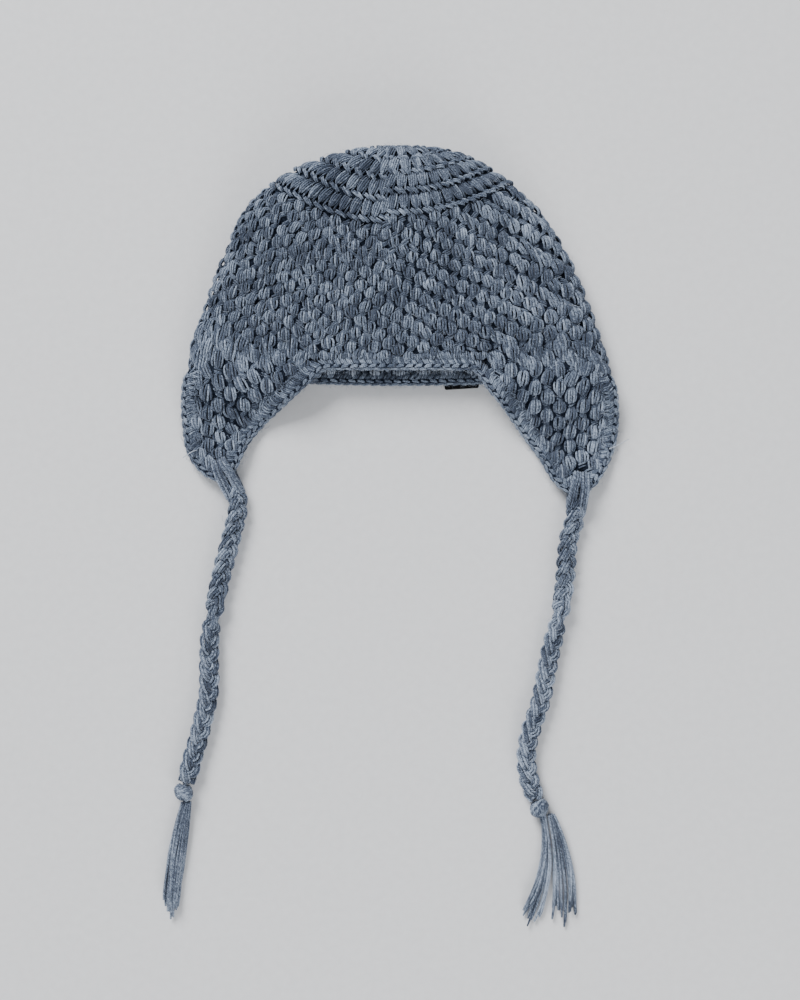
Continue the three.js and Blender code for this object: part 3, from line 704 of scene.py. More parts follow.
BRAID_PITCH = 19.5        # length in which a strand comes back to its place
BRAID_SWING = 2.75        # how far a strand goes from side to side
BRAID_LIFT = 1.95         # and up and down
BRAID_ROLL = -0.42        # the braid's lean about its own length
BRAID_TUCKED = 4.5        # how far its strands start inside the loop
BRAID_FLIP = {"left": 0.42, "right": 0.36}     # share of the length where the arrows turn round
YARN_RADIUS = 0.62
# Where the yarns of one strand lie in its section, across and up
STRAND_YARNS = [(1.95 * math.cos(turn), 1.12 * math.sin(turn))
                for turn in np.arange(8) * math.pi / 4 + 0.2]
TASSEL_YARNS = 6          # at each of the tassel's ends


def braid_path(side):
    line = smooth_line([(x, y, BRAID_HEIGHT) for x, y in BRAID_ROUTES[side]], 40)
    return line, lengths_of(line)


def braid(side):
    """Three strands of yarn that weave from side to side in a flat figure eight."""
    line, lengths = braid_path(side)
    # the strands start inside the loop, a little before the braid's own first point
    runs = np.linspace(-BRAID_TUCKED, lengths[-1], int(lengths[-1] + BRAID_TUCKED))
    middle = along_line(line, lengths, np.maximum(runs, 0))
    middle = middle + np.minimum(runs, 0)[:, None] * headings(line)[0]
    sideways = to_left(headings(middle))
    share = runs / lengths[-1]
    flip = BRAID_FLIP[side]
    roll = (math.pi * smooth_step(flip - 0.10, flip + 0.10, share) + BRAID_ROLL)[:, None]
    across = sideways * np.cos(roll) + UP * np.sin(roll)
    over = UP * np.cos(roll) - sideways * np.sin(roll)
    near_ends = (1 - 0.25 * smooth_step(0.97, 1.0, share)
                 - 0.65 * (1 - smooth_step(-BRAID_TUCKED, 4.0, runs)))
    random = draws(41, side)
    woven = []
    for strand in range(3):
        phase = 2 * math.pi * (runs / BRAID_PITCH + strand / 3)
        swing = BRAID_SWING * (np.sin(phase) + 0.08 * np.sin(3 * phase)) * near_ends
        lift = BRAID_LIFT * np.sin(2 * phase) * near_ends
        heart = middle + across * swing[:, None] + over * lift[:, None]
        strand_forward = headings(heart)
        strand_side = unit(np.cross(strand_forward, over))
        strand_up = np.cross(strand_side, strand_forward)
        turn = 0.30 * np.sin(runs * 0.11 + strand)
        for yarn, (aside, above) in enumerate(STRAND_YARNS):
            drift = 0.30 * np.sin(runs * 0.31 + 1.7 * yarn + 2.3 * strand)
            apart = ((aside * np.cos(turn) - above * np.sin(turn)) * (0.55 + 0.45 * near_ends)
                     + 0.30 * drift)
            lifted = aside * np.sin(turn) * 0.8 + above * np.cos(turn) + 0.35 * drift
            path = heart + strand_side * apart[:, None] + strand_up * lifted[:, None]
            path[:, 2] = np.maximum(path[:, 2], YARN_RADIUS + 0.05)
            woven.append((path, YARN_RADIUS * random.uniform(0.92, 1.10),
                          random.uniform(0.0, 1.0)))
    return yarns("braid_%s_yarns" % side, woven, WOOL_TIES, sides=5), line, lengths[-1]


def knot_of(side):
    """Yarn wrapped three ways round a packed core."""
    line, _ = braid_path(side)
    heading = headings(line)[-1]
    centre = line[-1] + heading * (KNOT["long"] / 2 + GAP)
    sideways = to_left(heading)
    half = np.array([KNOT["wide"], KNOT["long"], KNOT["thick"]]) / 2 - 0.9
    around = np.linspace(0, 2 * math.pi, 40, endpoint=False)[:, None]
    random = draws(51, side)
    wraps = []
    for lean, tip, size in ((0.55, 0.30, 1.00), (-0.65, -0.25, 0.88), (-1.45, 0.1, 0.80)):
        turn = lean * HAND[side]
        axis = np.array([math.sin(turn) * math.cos(tip), math.cos(turn) * math.cos(tip),
                         math.sin(tip)])
        first = unit(np.cross(axis, UP))
        second = np.cross(axis, first)
        for offset in (-1.7, -0.6, 0.5, 1.6, 2.6):
            shrink = math.sqrt(max(0.1, 1 - (offset / 5.0) ** 2))
            ball = (first * np.cos(around) + second * np.sin(around)) * shrink
            ball = ball * size * half + axis * offset * 0.82
            ball = ball + random.normal(0, 0.05, ball.shape)
            path = centre + sideways * ball[:, :1] + heading * ball[:, 1:2] + UP * ball[:, 2:]
            path[:, 2] = np.maximum(path[:, 2], 1.0)
            wraps.append((path, 0.68 * random.uniform(0.92, 1.1), random.uniform(0.1, 0.9)))
    wrapped = yarns("knot_wraps_%s" % side, wraps, WOOL_TIES, closed=True)
    core = blob("knot_core_%s" % side, centre, sideways, heading, half * 0.82)
    return joined("knot_yarns_%s" % side, [wrapped, core])


def blob(name, centre, sideways, heading, half):
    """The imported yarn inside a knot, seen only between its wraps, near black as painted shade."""
    columns, rows = 20, 12
    points = [centre + heading * half[1]]
    for row in range(1, rows):
        polar = math.pi * row / rows
        for column in range(columns):
            turn = 2 * math.pi * column / columns
            points.append(centre + heading * half[1] * math.cos(polar)
                          + sideways * half[0] * math.sin(polar) * math.cos(turn)
                          + UP * half[2] * math.sin(polar) * math.sin(turn))
    points.append(centre - heading * half[1])
    faces = []
    last = len(points) - 1
    for column in range(columns):
        after = (column + 1) % columns
        faces.append((0, 1 + after, 1 + column))
        faces.append((last, last - columns + column, last - columns + after))
        for row in range(rows - 2):
            a, b = 1 + row * columns + column, 1 + row * columns + after
            faces.append((a, b, b + columns, a + columns))
    return shell_piece(name, points, faces)


def shell_piece(name, points, faces):
    """A smooth closed mesh of wool in painted shade, from points in millimetres."""
    mesh = bpy.data.meshes.new(name)
    mesh.from_pydata(placed(points).tolist(), [], faces)
    work = bmesh.new()
    work.from_mesh(mesh)
    bmesh.ops.remove_doubles(work, verts=work.verts, dist=1e-6)
    bmesh.ops.recalc_face_normals(work, faces=work.faces)
    work.to_mesh(mesh)
    work.free()
    # near-black wool as painted shade
    mesh.materials.append(PAINTED_SHADE_WOOL)
    mesh.polygons.foreach_set("use_smooth", [True] * len(mesh.polygons))
    return shown(name, mesh)


def tassel(side):
    """Loose yarn ends that spread from the knot and lie on the surface."""
    head = np.array(TASSEL_HEADS[side])
    rows = np.array(TASSEL_ENDS[side])
    mean = rows[:, :2].mean(0)
    line, _ = braid_path(side)
    heading = headings(line)[-1]
    random = draws(61, side)
    loose = []
    part = np.linspace(0, 1, 22)[:, None]
    for x, y, z, belly in rows:
        for _ in range(TASSEL_YARNS):
            end = np.array([x, y, z]) + random.normal(0, 1, 3) * [1.0, 2.2, 0.3]
            start = head + [np.clip((x - mean[0]) * 0.5, -2.4, 2.4), 0, 0] - heading * 5.0
            start = start + random.normal(0, 1, 3) * [0.7, 0.3, 0.8]
            start[2] = max(start[2], 1.6)
            across = to_left(unit((end - start) * [1, 1, 0]))
            middle = (start + end) / 2 + across * (belly + random.normal(0, 0.9))
            middle[2] = (start[2] + end[2]) / 2 + 0.2
            path = (1 - part) ** 2 * start + 2 * part * (1 - part) * middle + part ** 2 * end
            wave = random.uniform(0, 6.28)
            path = path + across * (0.35 * np.sin(part * random.uniform(5, 9) + wave) * part)
            radius = random.uniform(0.52, 0.68) * (1 - 0.25 * smooth_step(0.95, 1, part[:, 0]))
            path[:, 2] = np.clip(path[:, 2], radius + 0.05, 7.0)
            loose.append((path, radius, random.uniform(0, 1)))
    return yarns("tassel_yarns_%s" % side, loose, WOOL_TIES, sides=6)


for side_name in SIDES:
    cord_piece, cord_line, cord_length = braid(side_name)
    knot = dress(knot_of(side_name), "braid_knot_%s" % side_name)
    ends = dress(tassel(side_name), "tassel_%s" % side_name)
    dress(cord_piece, "braid_%s" % side_name)
    route = placed(along_line(cord_line, lengths_of(cord_line), np.linspace(0, cord_length, 40)))

# ---------------- stitches of the cap's body

# A bump is one stitch of the fabric: a small pad of plies side by side, deep at its top,
# highest below its middle and turned in at the bottom.
PLIES_IN_BUMP = 5
ROUNDS = 19


class Spots:
    """Places of stitches: the point on the outer face, the outward side, the way to the crown,
    and how wide and long a stitch is there."""

    def __init__(self, points, outward, upward, wide, long):
        self.points = points
        self.outward = unit(outward)
        up = upward - self.outward * (upward * self.outward).sum(-1, keepdims=True)
        self.upward = unit(up)
        self.across = np.cross(self.upward, self.outward)
        self.wide = np.broadcast_to(np.asarray(wide, float), len(points))
        self.long = np.broadcast_to(np.asarray(long, float), len(points))

    def at(self, across, up, out):
        shape = len(self.points)
        across, up, out = (np.broadcast_to(value, shape)[:, None] for value in (across, up, out))
        return self.points + self.across * across + self.upward * up + self.outward * out

    def only(self, keep):
        return Spots(self.points[keep], self.outward[keep], self.upward[keep],
                     self.wide[keep], self.long[keep])


def picked(line, normals, ups, coordinate, wanted, wide, long):
    """Stitch places at the wanted values of a coordinate that runs along the line."""
    order = np.argsort(coordinate)
    coordinate = coordinate[order]
    wanted = np.asarray([w for w in wanted if coordinate[0] <= w <= coordinate[-1]])
    if not len(wanted):
        return None
    values = [np.stack([np.interp(wanted, coordinate, data[order, i]) for i in range(3)], -1)
              for data in (line, normals, ups)]
    sizes = [np.interp(wanted, coordinate, np.broadcast_to(data, len(line))[order])
             for data in (wide, long)]
    return Spots(*values, *sizes)


def merged(groups):
    groups = [group for group in groups if group is not None]
    return Spots(*(np.concatenate([getattr(group, field) for group in groups])
                   for field in ("points", "outward", "upward", "wide", "long")))


def bumps(plies, spots, random, sunk=0.0, lean_more=0.0):
    """Each stitch a pad of plies side by side, deep at its top and turned in at the bottom."""
    count = len(spots.points)
    lean = random.normal(lean_more, 0.14, count)
    bow = random.normal(0, 0.35, count)
    wide = spots.wide * random.uniform(1.00, 1.14, count)
    long = spots.long * random.uniform(0.90, 1.01, count)
    high = random.normal(0, 0.16, count) - sunk
    shift = random.normal(0, 0.24, (2, count))
    tint = random.uniform(0.25, 0.75, count)
    spacing = wide / (PLIES_IN_BUMP + 0.15)
    for ply in range(PLIES_IN_BUMP):
        step = ply - (PLIES_IN_BUMP - 1) / 2
        place = spacing * (step + random.normal(0, 0.12, count))
        share = (2 * step / PLIES_IN_BUMP) ** 2
        round_off = -1.45 * share + random.normal(0, 0.15, count)
        top = long * (0.50 - 0.13 * share) + random.normal(0, 0.22, count)
        bottom = -long * (0.45 - 0.15 * share) + random.normal(0, 0.22, count)
        inner = bow * (1 - 0.7 * share)
        crossed = random.normal(0, 0.22, count)
        controls = [
            spots.at(shift[0] + place * 0.62 + lean * top + crossed, shift[1] + top, -2.3 + high),
            spots.at(shift[0] + place * 1.24 + inner + lean * top * 0.5 + crossed,
                     shift[1] + top * 0.64, 0.85 + round_off + high),
            spots.at(shift[0] + place * 1.28 + inner + lean * bottom * 0.5 - crossed,
                     shift[1] + bottom * 0.78, 1.35 + round_off + high),
            spots.at(shift[0] + place * 0.55 + lean * bottom - crossed, shift[1] + bottom,
                     -2.6 + high),
        ]
        plies.lay(random, controls, spots.outward, spacing * 0.5, (0.80, 1.02), tint, (0, 0.32))


def gap_strands(plies, spots, random):
    """The strands that cross from one stitch to the next, seen down in the gap between them."""
    count = len(spots.points)
    hand = np.where(random.random(count) < 0.6, -1.0, 1.0)
    slant = random.uniform(0.7, 1.9, count)
    low = random.uniform(-1.75, -1.0, count)
    for ply in range(3):
        level = (ply - 1) * 0.98 + random.normal(0, 0.18, count)
        controls = [
            spots.at(-hand * 2.4, level + slant, low - 1.2),
            spots.at(-hand * 0.9, level + slant * 0.5, low + 0.5),
            spots.at(hand * 0.9, level - slant * 0.5, low + 0.5),
            spots.at(hand * 2.4, level - slant, low - 1.2),
        ]
        # low tints make these strands darker: painted shade down in the gaps
        plies.add(controls, spots.outward, 0.48 * random.uniform(0.82, 1.08, count),
                  random.uniform(0, 0.6, count))


ANGLES = np.linspace(-math.pi / 2, 3 * math.pi / 2, 721)
FRONT_CENTRE = 360
JOG_X = -8.0                 # the seam of the rounds
PAIR_WIDE = (10.5, 0.074)    # width of two stitches in the first round, and what each round adds
ROUND_DRIFT = 1.3            # how far the stitches wander from one round to the next
FOLD_TURN = -0.12            # the front's stitches go this far round the folds
EDGE_STITCH = (4.1, 4.9)     # width and length of the short stitches at the front rim
# The section of the front's last round, by the share across from fold to fold
LAST_ROUND = ([-1.0, -0.7, -0.42, 0.0, 0.455, 0.645, 1.0],
              [8.85, 9.19, 9.55, 9.9, 9.43, 9.32, 9.35])
LAST_ROUND_BACK = 9.88


def last_round_at(angle):
    across = -np.cos(angle)
    front = np.interp(across, *LAST_ROUND)
    side = np.where(across < 0, LAST_ROUND[1][0], LAST_ROUND[1][-1])
    back = side + (LAST_ROUND_BACK - side) * smooth_step(0.0, 0.25, 1 - np.abs(across))
    return np.where(np.sin(angle) >= 0, front, back)


def body_rounds():
    """The place of every round on the body, as sections by angle."""
    at_grid = np.linspace(CROWN_END, RIM, 61)
    surface = cap_surface(at_grid[:, None], ANGLES[None, :])
    lengths = np.vstack([np.zeros(len(ANGLES)),
                         np.cumsum(np.linalg.norm(np.diff(surface, axis=0), axis=2), axis=0)])
    last = last_round_at(ANGLES)
    rows = np.zeros((ROUNDS + 1, len(ANGLES)))
    for i in range(len(ANGLES)):
        total = np.interp(last[i], at_grid, lengths[:, i])
        wanted = total * (np.arange(ROUNDS + 1) + 0.42) / (ROUNDS + 0.42)
        rows[:, i] = np.interp(wanted, lengths[:, i], at_grid)
    return rows


BODY_ROUNDS = body_rounds()


def jog(x, on_front):
    """Each round ends a little below its start, at the seam left of the middle."""
    right = -0.26 * (1 - smooth_step(JOG_X + 2, JOG_X + 60, x))
    left = 0.12 * smooth_step(JOG_X - 60, JOG_X - 2, x)
    return np.where(on_front, np.where(x > JOG_X, right, left), 0.0)


def cap_line(at, angles, slope):
    """Points of the outer face, their outward side and the way to the crown. The way follows the
    fabric's slope by the given share, and the plan for the rest."""
    ups = unit(-cap_along(at, angles) * slope + IMAGE_UP * (1 - slope))
    return cap_surface(at, angles), cap_normal(at, angles), ups


def round_spots(number, front, inner=False, between=0.0):
    """Stitch places on one round of the body, on its front or its back, outside or inside."""
    at = BODY_ROUNDS[number]
    fading = max(0.0, 1 - number / 7)
    at = at + fading * jog(cap_surface(at, ANGLES)[:, 0], np.sin(ANGLES) >= 0)
    line, normals, ups = cap_line(at, ANGLES, 0.5)
    pitch = (PAIR_WIDE[0] + PAIR_WIDE[1] * number) * (1 + 0.0014 * line[:, 0])
    steps = np.diff(lengths_of(line)) * 2 / (pitch[1:] + pitch[:-1])
    count = np.concatenate([[0], np.cumsum(steps)])
    whole = round(count[-1])
    count = (count - count[FRONT_CENTRE]) * whole / count[-1]
    drift = ROUND_DRIFT * number / pitch[FRONT_CENTRE]
    offset = 0.5 * (number % 2) - drift + between
    wanted = math.ceil(count[0] - offset) + np.arange(whole) + offset
    above = cap_surface(BODY_ROUNDS[max(number - 1, 0)], ANGLES)
    below = cap_surface(BODY_ROUNDS[min(number + 1, ROUNDS)], ANGLES)
    spread = 2 if 0 < number < ROUNDS else 1
    long = np.linalg.norm(above - below, axis=1) * 2 / spread
    if number == ROUNDS:
        long = long * np.where(np.abs(np.cos(ANGLES)) < 0.44, 0.82, 1.20)
    if inner:
        line = line - normals * WALL
        normals = -normals
    spots = picked(line, normals, ups, count, wanted, pitch / 2, long)
    on_front = np.sin(np.interp(wanted, count, ANGLES)) >= FOLD_TURN
    keep = on_front if front else ~on_front
    return spots.only(keep) if keep.any() else None


def edge_spots():
    """The row of short stitches between the last round and the border, on the front."""
    at = np.minimum(np.maximum(BODY_ROUNDS[ROUNDS] + 0.10, 9.83), RIM)
    line, normals, ups = cap_line(at, ANGLES, 1)
    run = lengths_of(line)
    run = run - run[FRONT_CENTRE]
    inside = (np.abs(np.cos(ANGLES)) < 0.50) & (np.sin(ANGLES) > 0)
    wanted = np.arange(-14, 15) * EDGE_STITCH[0]
    return picked(line[inside], normals[inside], ups[inside], run[inside], wanted, *EDGE_STITCH)


# ---------------- rows of the flaps

FLAP_ROW = 4.1
FLAP_PITCH = 12.0
FLAP_LEVEL = {"left": -15.0, "right": -16.0}
FLAP_LEAN = {"left": -0.16, "right": 0.05}
FLAP_ROWS = range(1, 22)
ROWS_TO_LEVEL = 7
HOLE_CLEAR = 3.6          # no stitch lies nearer to the eyelet
LAST_LINE = cap_surface(BODY_ROUNDS[ROUNDS], ANGLES)[np.sin(ANGLES) >= 0]


def from_eyelet(side, points):
    """How far from the middle of the eyelet points lie, in plan."""
    x, y = TIE_HOLE[side]
    return np.hypot(points[..., 0] - x, points[..., 1] - y)


def row_height(side, number, x):
    """How high up the plan a row lies: the first follow the last round, the others are level."""
    sloped = np.interp(x, LAST_LINE[:, 0], LAST_LINE[:, 1]) - FLAP_LEVEL[side]
    share = max(0.0, 1 - number / ROWS_TO_LEVEL)
    return FLAP_LEVEL[side] + sloped * share - FLAP_ROW * number


def row_length(side, number, line):
    """How long a stitch of this row is: from the row above to the row below."""
    x = line[:, 0]
    return row_height(side, max(number - 1, 0), x) - row_height(side, number + 1, x)


def row_places(number, between):
    """Where the stitches of a row stand; those of the next row stand between them."""
    return (np.arange(-14, 15) + (0.5 * (number % 2) + between)) * FLAP_PITCH


def crossing(values, grid):
    """Where each column of values falls through zero, or nan."""
    out = np.full(values.shape[1], np.nan)
    for i in range(values.shape[1]):
        column = values[:, i]
        found = np.nonzero((column[:-1] > 0) & (column[1:] <= 0))[0]
        if len(found):
            j = found[0]
            out[i] = grid[j] + (grid[j + 1] - grid[j]) * column[j] / (column[j] - column[j + 1])
    return out


def cap_side_spots(side, number, between=0.0):
    """Row of stitches on the cap between its last round and the flap, on round the fold."""
    hand = HAND[side]
    fold = 0.0 if side == "left" else math.pi
    angles = np.linspace(math.acos(-0.42 * hand), fold + hand * 0.9, 160)
    grid = np.linspace(8.6, 10.12, 70)
    surface = cap_surface(grid[:, None], angles[None, :])
    at = crossing(surface[..., 1] - row_height(side, number, surface[..., 0]), grid)
    at[at < last_round_at(angles) + 0.08] = np.nan
    good = ~np.isnan(at)
    if good.sum() < 4:
        return None
    at, angles = at[good], angles[good]
    line, normals, ups = cap_line(at, angles, 0.4)
    run = lengths_of(line)
    flat = (np.abs(np.cos(angles)) <= 0.93) & (np.sin(angles) > 0)
    turn = np.nonzero(flat)[0][-1] if flat.any() else 0
    coordinate = np.where(np.arange(len(run)) <= turn, line[:, 0],
                          line[turn, 0] + hand * (run - run[turn]))
    return picked(line, normals, ups, coordinate, row_places(number, between), FLAP_PITCH / 2,
                  row_length(side, number, line))


def flap_spots(side, number, face, between=0.0):
    """Row of stitches on a flap, on its upper face (1) or its lower face (-1)."""
    grid = np.linspace(0, 1, 101)
    across = np.linspace(0.02, 0.98, 60)
    middle = flap_middle(side, across[None, :], grid[:, None])
    down = crossing(middle[..., 1] - row_height(side, number, middle[..., 0]), grid)
    good = ~np.isnan(down)
    if good.sum() < 4:
        return None
    across, down = across[good], down[good]
    point, normal = flap_middle(side, across, down), flap_normal(side, across, down)
    line = point + normal * face * WALL / 2
    ups = np.broadcast_to(IMAGE_UP, line.shape)
    wanted = row_places(number, between)
    # a stitch that would stand a little past the edge is drawn in, and narrower
    first, last = line[:, 0].min() + 1.3, line[:, 0].max() - 1.3
    past = np.maximum(first - wanted, wanted - last)
    near = past < 5.4
    wanted, past = wanted[near], np.maximum(past[near], 0)
    if not len(wanted):
        return None
    spots = picked(line, normal * face, ups, line[:, 0], np.clip(wanted, first, last),
                   FLAP_PITCH / 2, row_length(side, number, line))
    spots.wide = spots.wide * (1 - 0.07 * past)
    keep = from_eyelet(side, spots.points) > HOLE_CLEAR
    return spots.only(keep) if keep.any() else None


def body_spots(front, between=0.0):
    return [round_spots(number, front, between=between) for number in range(ROUNDS + 1)]


def side_spots(numbers, between=0.0):
    return [cap_side_spots(side, number, between) for side in SIDES for number in numbers]


def flap_rows(side, face, between=0.0):
    return merged([flap_spots(side, number, face, between) for number in FLAP_ROWS])


def body_fabric():
    """The pads of the front, the back and the inside near the rim, and the strands in the gaps."""
    random = draws(7)
    front, strands, back, inner = Plies(), Plies(), Plies(), Plies()
    bumps(front, merged(body_spots(True) + side_spots(range(1, 9)) + [edge_spots()]), random)
    lower = side_spots([number + 0.5 for number in range(9)])
    bumps(front, merged(lower), random, sunk=0.6)
    gap_strands(strands, merged(body_spots(True, 0.5) + side_spots(range(1, 9), 0.5)), random)
    bumps(back, merged(body_spots(False)), random, sunk=0.45)
    inside = [round_spots(number, is_front, inner=True)
              for number in range(ROUNDS - 8, ROUNDS + 1) for is_front in (True, False)]
    bumps(inner, merged(inside), random)
    # the inside pads take the wool painted lighter, standing in for light under the front wall
    return (front.piece("cap_front_stitches", WOOL),
            strands.piece("cap_gap_strands", WOOL, sides=4, rings=5),
            back.piece("cap_back_stitches", WOOL, sides=4, rings=6),
            inner.piece("cap_inner_stitches", WOOL_INSIDE_PAINTED_LIGHTER, sides=4, rings=5))


def flap_fabric(side):
    random = draws(17, side)
    plies = Plies()
    bumps(plies, flap_rows(side, 1), random, lean_more=FLAP_LEAN[side])
    gap_strands(plies, flap_rows(side, 1, 0.5), random)
    bumps(plies, flap_rows(side, -1), random, sunk=0.3)
    return plies.piece("flap_%s_stitches" % side, WOOL)


# ---------------- rounds of the crown

CROWN_STITCHES = [10, 20, 31, 41, 50]
LEAF_BEND = ((-1.0, -1.5), (-0.5, 0.65), (0.55, 0.75), (1.0, -1.4))     # along and out


def crown_spots(number, share):
    """Stitch places on one round of the crown, a share of the way down it."""
    count = CROWN_STITCHES[number]
    at = number + share
    x = cap_surface(at, ANGLES)[:, 0]
    shifted = at + jog(x, np.sin(ANGLES) >= 0) * min(1.0, number / 2)
    line, normals, ups = cap_line(shifted, ANGLES, 1)
    coordinate = lengths_of(line)
    coordinate = coordinate / coordinate[-1] * count
    return picked(line, normals, ups, coordinate, np.arange(count) + 0.5, 4.8, 10.0)


def crown_fabric():
    """Tall stitches side by side in each round, with a chain of slanting plies below them."""
    random = draws(27)
    plies = Plies()
    for number in range(len(CROWN_STITCHES)):
        length = 9.0 if number == 0 else 12.0
        spots = crown_spots(number, 0.38)
        total = len(spots.points)
        lean = random.normal(0, 0.07, total)
        tint = random.uniform(0.25, 0.8, total)
        bow = random.normal(0, 0.3, total)
        for ply in range(4):
            place = ply - 1.5
            outer = abs(place) > 1
            top = 0.42 * length + random.normal(0, 0.3, total)
            bottom = -(0.24 if outer else 0.33) * length + random.normal(0, 0.3, total)
            round_off = -0.55 if outer else 0.0
            controls = [
                spots.at(place * 0.8 + lean * top, top, -2.1),
                spots.at(place * 1.34 + bow + lean * top * 0.5, top * 0.55, 0.70 + round_off),
                spots.at(place + bow + lean * bottom * 0.5, bottom * 0.6, 0.75 + round_off),
                spots.at(place * 0.40 + lean * bottom, bottom, -1.7),
            ]
            plies.lay(random, controls, spots.outward, 0.50, (0.85, 1.08), tint, (0, 0.25))
        # the strands between one stitch and the next; their low tints darken them as painted shade
        for ply in range(2):
            low = random.normal(0, 0.25, total)
            controls = [
                spots.at(2.4 + 0.5 * ply, 0.30 * length, -1.9),
                spots.at(2.5 - 0.5 * ply, 0.12 * length + low, -0.55),
                spots.at(2.1 + 0.6 * ply, -0.10 * length + low, -0.5),
                spots.at(2.6 - 0.6 * ply, -0.30 * length, -1.9),
            ]
            plies.add(controls, spots.outward, 0.45 * random.uniform(0.85, 1.05, total),
                      random.uniform(0, 0.7, total))
        chain = crown_spots(number, 0.80)
        total = len(chain.points)
        slant = math.radians(16) + math.radians(34) * smooth_step(-45, 30, chain.points[:, 0])
        for leaf in range(2):
            middle = (leaf - 0.5) * 2.4 + random.normal(0, 0.12, total)
            turn = slant + random.normal(0, 0.12, total)
            reach = random.uniform(1.75, 2.1, total)
            ahead, aside = np.cos(turn), np.sin(turn)
            for ply in range(2):
                away = (ply - 0.5) * 0.86
                controls = [chain.at(middle + ahead * along * reach + aside * away,
                                     -aside * along * reach + ahead * away, out)
                            for along, out in LEAF_BEND]
                plies.add(controls, chain.outward, 0.46 * random.uniform(0.88, 1.08, total),
                          random.uniform(0.2, 1.0, total))
    return plies.piece("crown_rounds", WOOL)


# ---------------- fabric behind the stitches

LINING_FACES = (1.9, 2.7)    # depths of the lining's outer and inner face in the wall
CORE_HALF = 0.6              # half the thickness of a flap's core
CORE_OUT = 1.5               # how far it reaches out under the border
EYELET = 2.6                 # radius of the hole for the tie


def cap_shell():
    """The body of the fabric under its stitches: a hollow shell, open at the rim."""
    rows = np.concatenate([[0.12, 0.35, 0.7], np.linspace(1, RIM, 46)])
    count = 72
    angles = np.linspace(0, 2 * math.pi, count, endpoint=False)
    outer, inner = ([cap_point(at, angles, depth) for at in rows] for depth in LINING_FACES)
    points = np.vstack(outer + inner[::-1])
    total = 2 * len(rows)
    faces = []
    for i in range(total - 1):
        for j in range(count):
            k = (j + 1) % count
            faces.append((i * count + j, (i + 1) * count + j, (i + 1) * count + k, i * count + k))
    faces.append(tuple(range(count)))
    faces.append(tuple(range((total - 1) * count, total * count))[::-1])
    # the lining is near-black wool: painted shade seen down between the stitches
    return shell_piece("cap_lining", points, faces)


def flap_core(side):
    """The flap's fabric between its two faces of stitches, with the eyelet for the tie."""
    rows, columns = 40, 26
    down = np.linspace(0, 1, rows)[:, None]
    across = np.linspace(0, 1, columns)[None, :]
    middle, normal = flap_middle(side, across, down), flap_normal(side, across, down)
    middle[0] -= unit(middle[1] - middle[0]) * 1.6
    middle[:, 0] += unit(middle[:, 0] - middle[:, 1]) * CORE_OUT
    middle[:, -1] += unit(middle[:, -1] - middle[:, -2]) * CORE_OUT
    upper, lower = middle + normal * CORE_HALF, middle - normal * CORE_HALF
    points = np.concatenate([upper.reshape(-1, 3), lower.reshape(-1, 3)])
    half = rows * columns
    is_open = from_eyelet(side, (middle[:-1, :-1] + middle[1:, 1:]) / 2) < EYELET
    faces = []
    for i in range(rows - 1):
        for j in range(columns - 1):
            if is_open[i, j]:
                continue
            a, b = i * columns + j, i * columns + j + 1
            c, d = b + columns, a + columns
            faces.append((a, b, c, d))
            faces.append((half + d, half + c, half + b, half + a))
            # a side wall where the next square is missing
            for ni, nj, p, q in ((i - 1, j, a, b), (i, j + 1, b, c), (i + 1, j, c, d),
                                 (i, j - 1, d, a)):
                if not (0 <= ni < rows - 1 and 0 <= nj < columns - 1) or is_open[ni, nj]:
                    faces.append((q, p, half + p, half + q))
    # the core is near-black wool: painted shade seen between the stitches
    return shell_piece("flap_core_" + side, points, faces)


# ---------------- border

def flap_edge(side):
    part = np.linspace(0.03, 0.97, 120)
    outer = part <= 0.5
    down = np.minimum(np.where(outer, part, 1 - part) / TIP_PART, 1)
    across = np.where(outer, 0.0, 1.0)
    point = inset_outline(side, part, EDGING_WIDE / 2)
    point[:, 2] = flap_middle(side, across, down)[:, 2]
    return point, flap_normal(side, across, down)


def rim_edge(is_front, start, end, count):
    across = np.linspace(start, end, count)
    ease = FOLD_EASE * smooth_step(0.9, 0.98, np.abs(across))
    return rim_station(across, is_front, GAP + EDGING_WIDE / 2 + ease)


def border_line():
    """Closed middle line of the border with the fabric's outward side along it, evenly stepped."""
    left, right = flap_edge("left"), flap_edge("right")
    runs = [rim_edge(False, 0.98, -0.98, 120), rim_edge(True, -0.995, -0.975, 2), left,
            rim_edge(True, -0.36, 0.36, 50), (right[0][::-1], right[1][::-1]),
            rim_edge(True, 0.975, 0.995, 2)]
    line = np.vstack([run[0] for run in runs])
    normal = np.vstack([run[1] for run in runs])
    line, normal = looped(line), looped(normal)
    lengths = lengths_of(line)
    even = np.linspace(0, lengths[-1], 1400, endpoint=False)
    line, normal = along_line(line, lengths, even), along_line(normal, lengths, even)
    for _ in range(24):
        line = (np.roll(line, 1, 0) + 2 * line + np.roll(line, -1, 0)) / 4
        normal = (np.roll(normal, 1, 0) + 2 * normal + np.roll(normal, -1, 0)) / 4
    return line, unit(normal)


BORDER, BORDER_FACE = border_line()
BORDER_AHEAD = ring_headings(BORDER)
BORDER_AWAY = unit(np.cross(BORDER_AHEAD, BORDER_FACE))      # away from the fabric
BORDER_STITCH = 3.1
CHAIN_STITCH = 4.5
ROW_STITCH = 4.3


def border_places(stitch, shift=0.0):
    """Even places round the border, as near to a stitch apart as goes round whole."""
    length = lengths_of(looped(BORDER))[-1]
    count = int(length / stitch)
    return (np.arange(count) + shift) * length / count


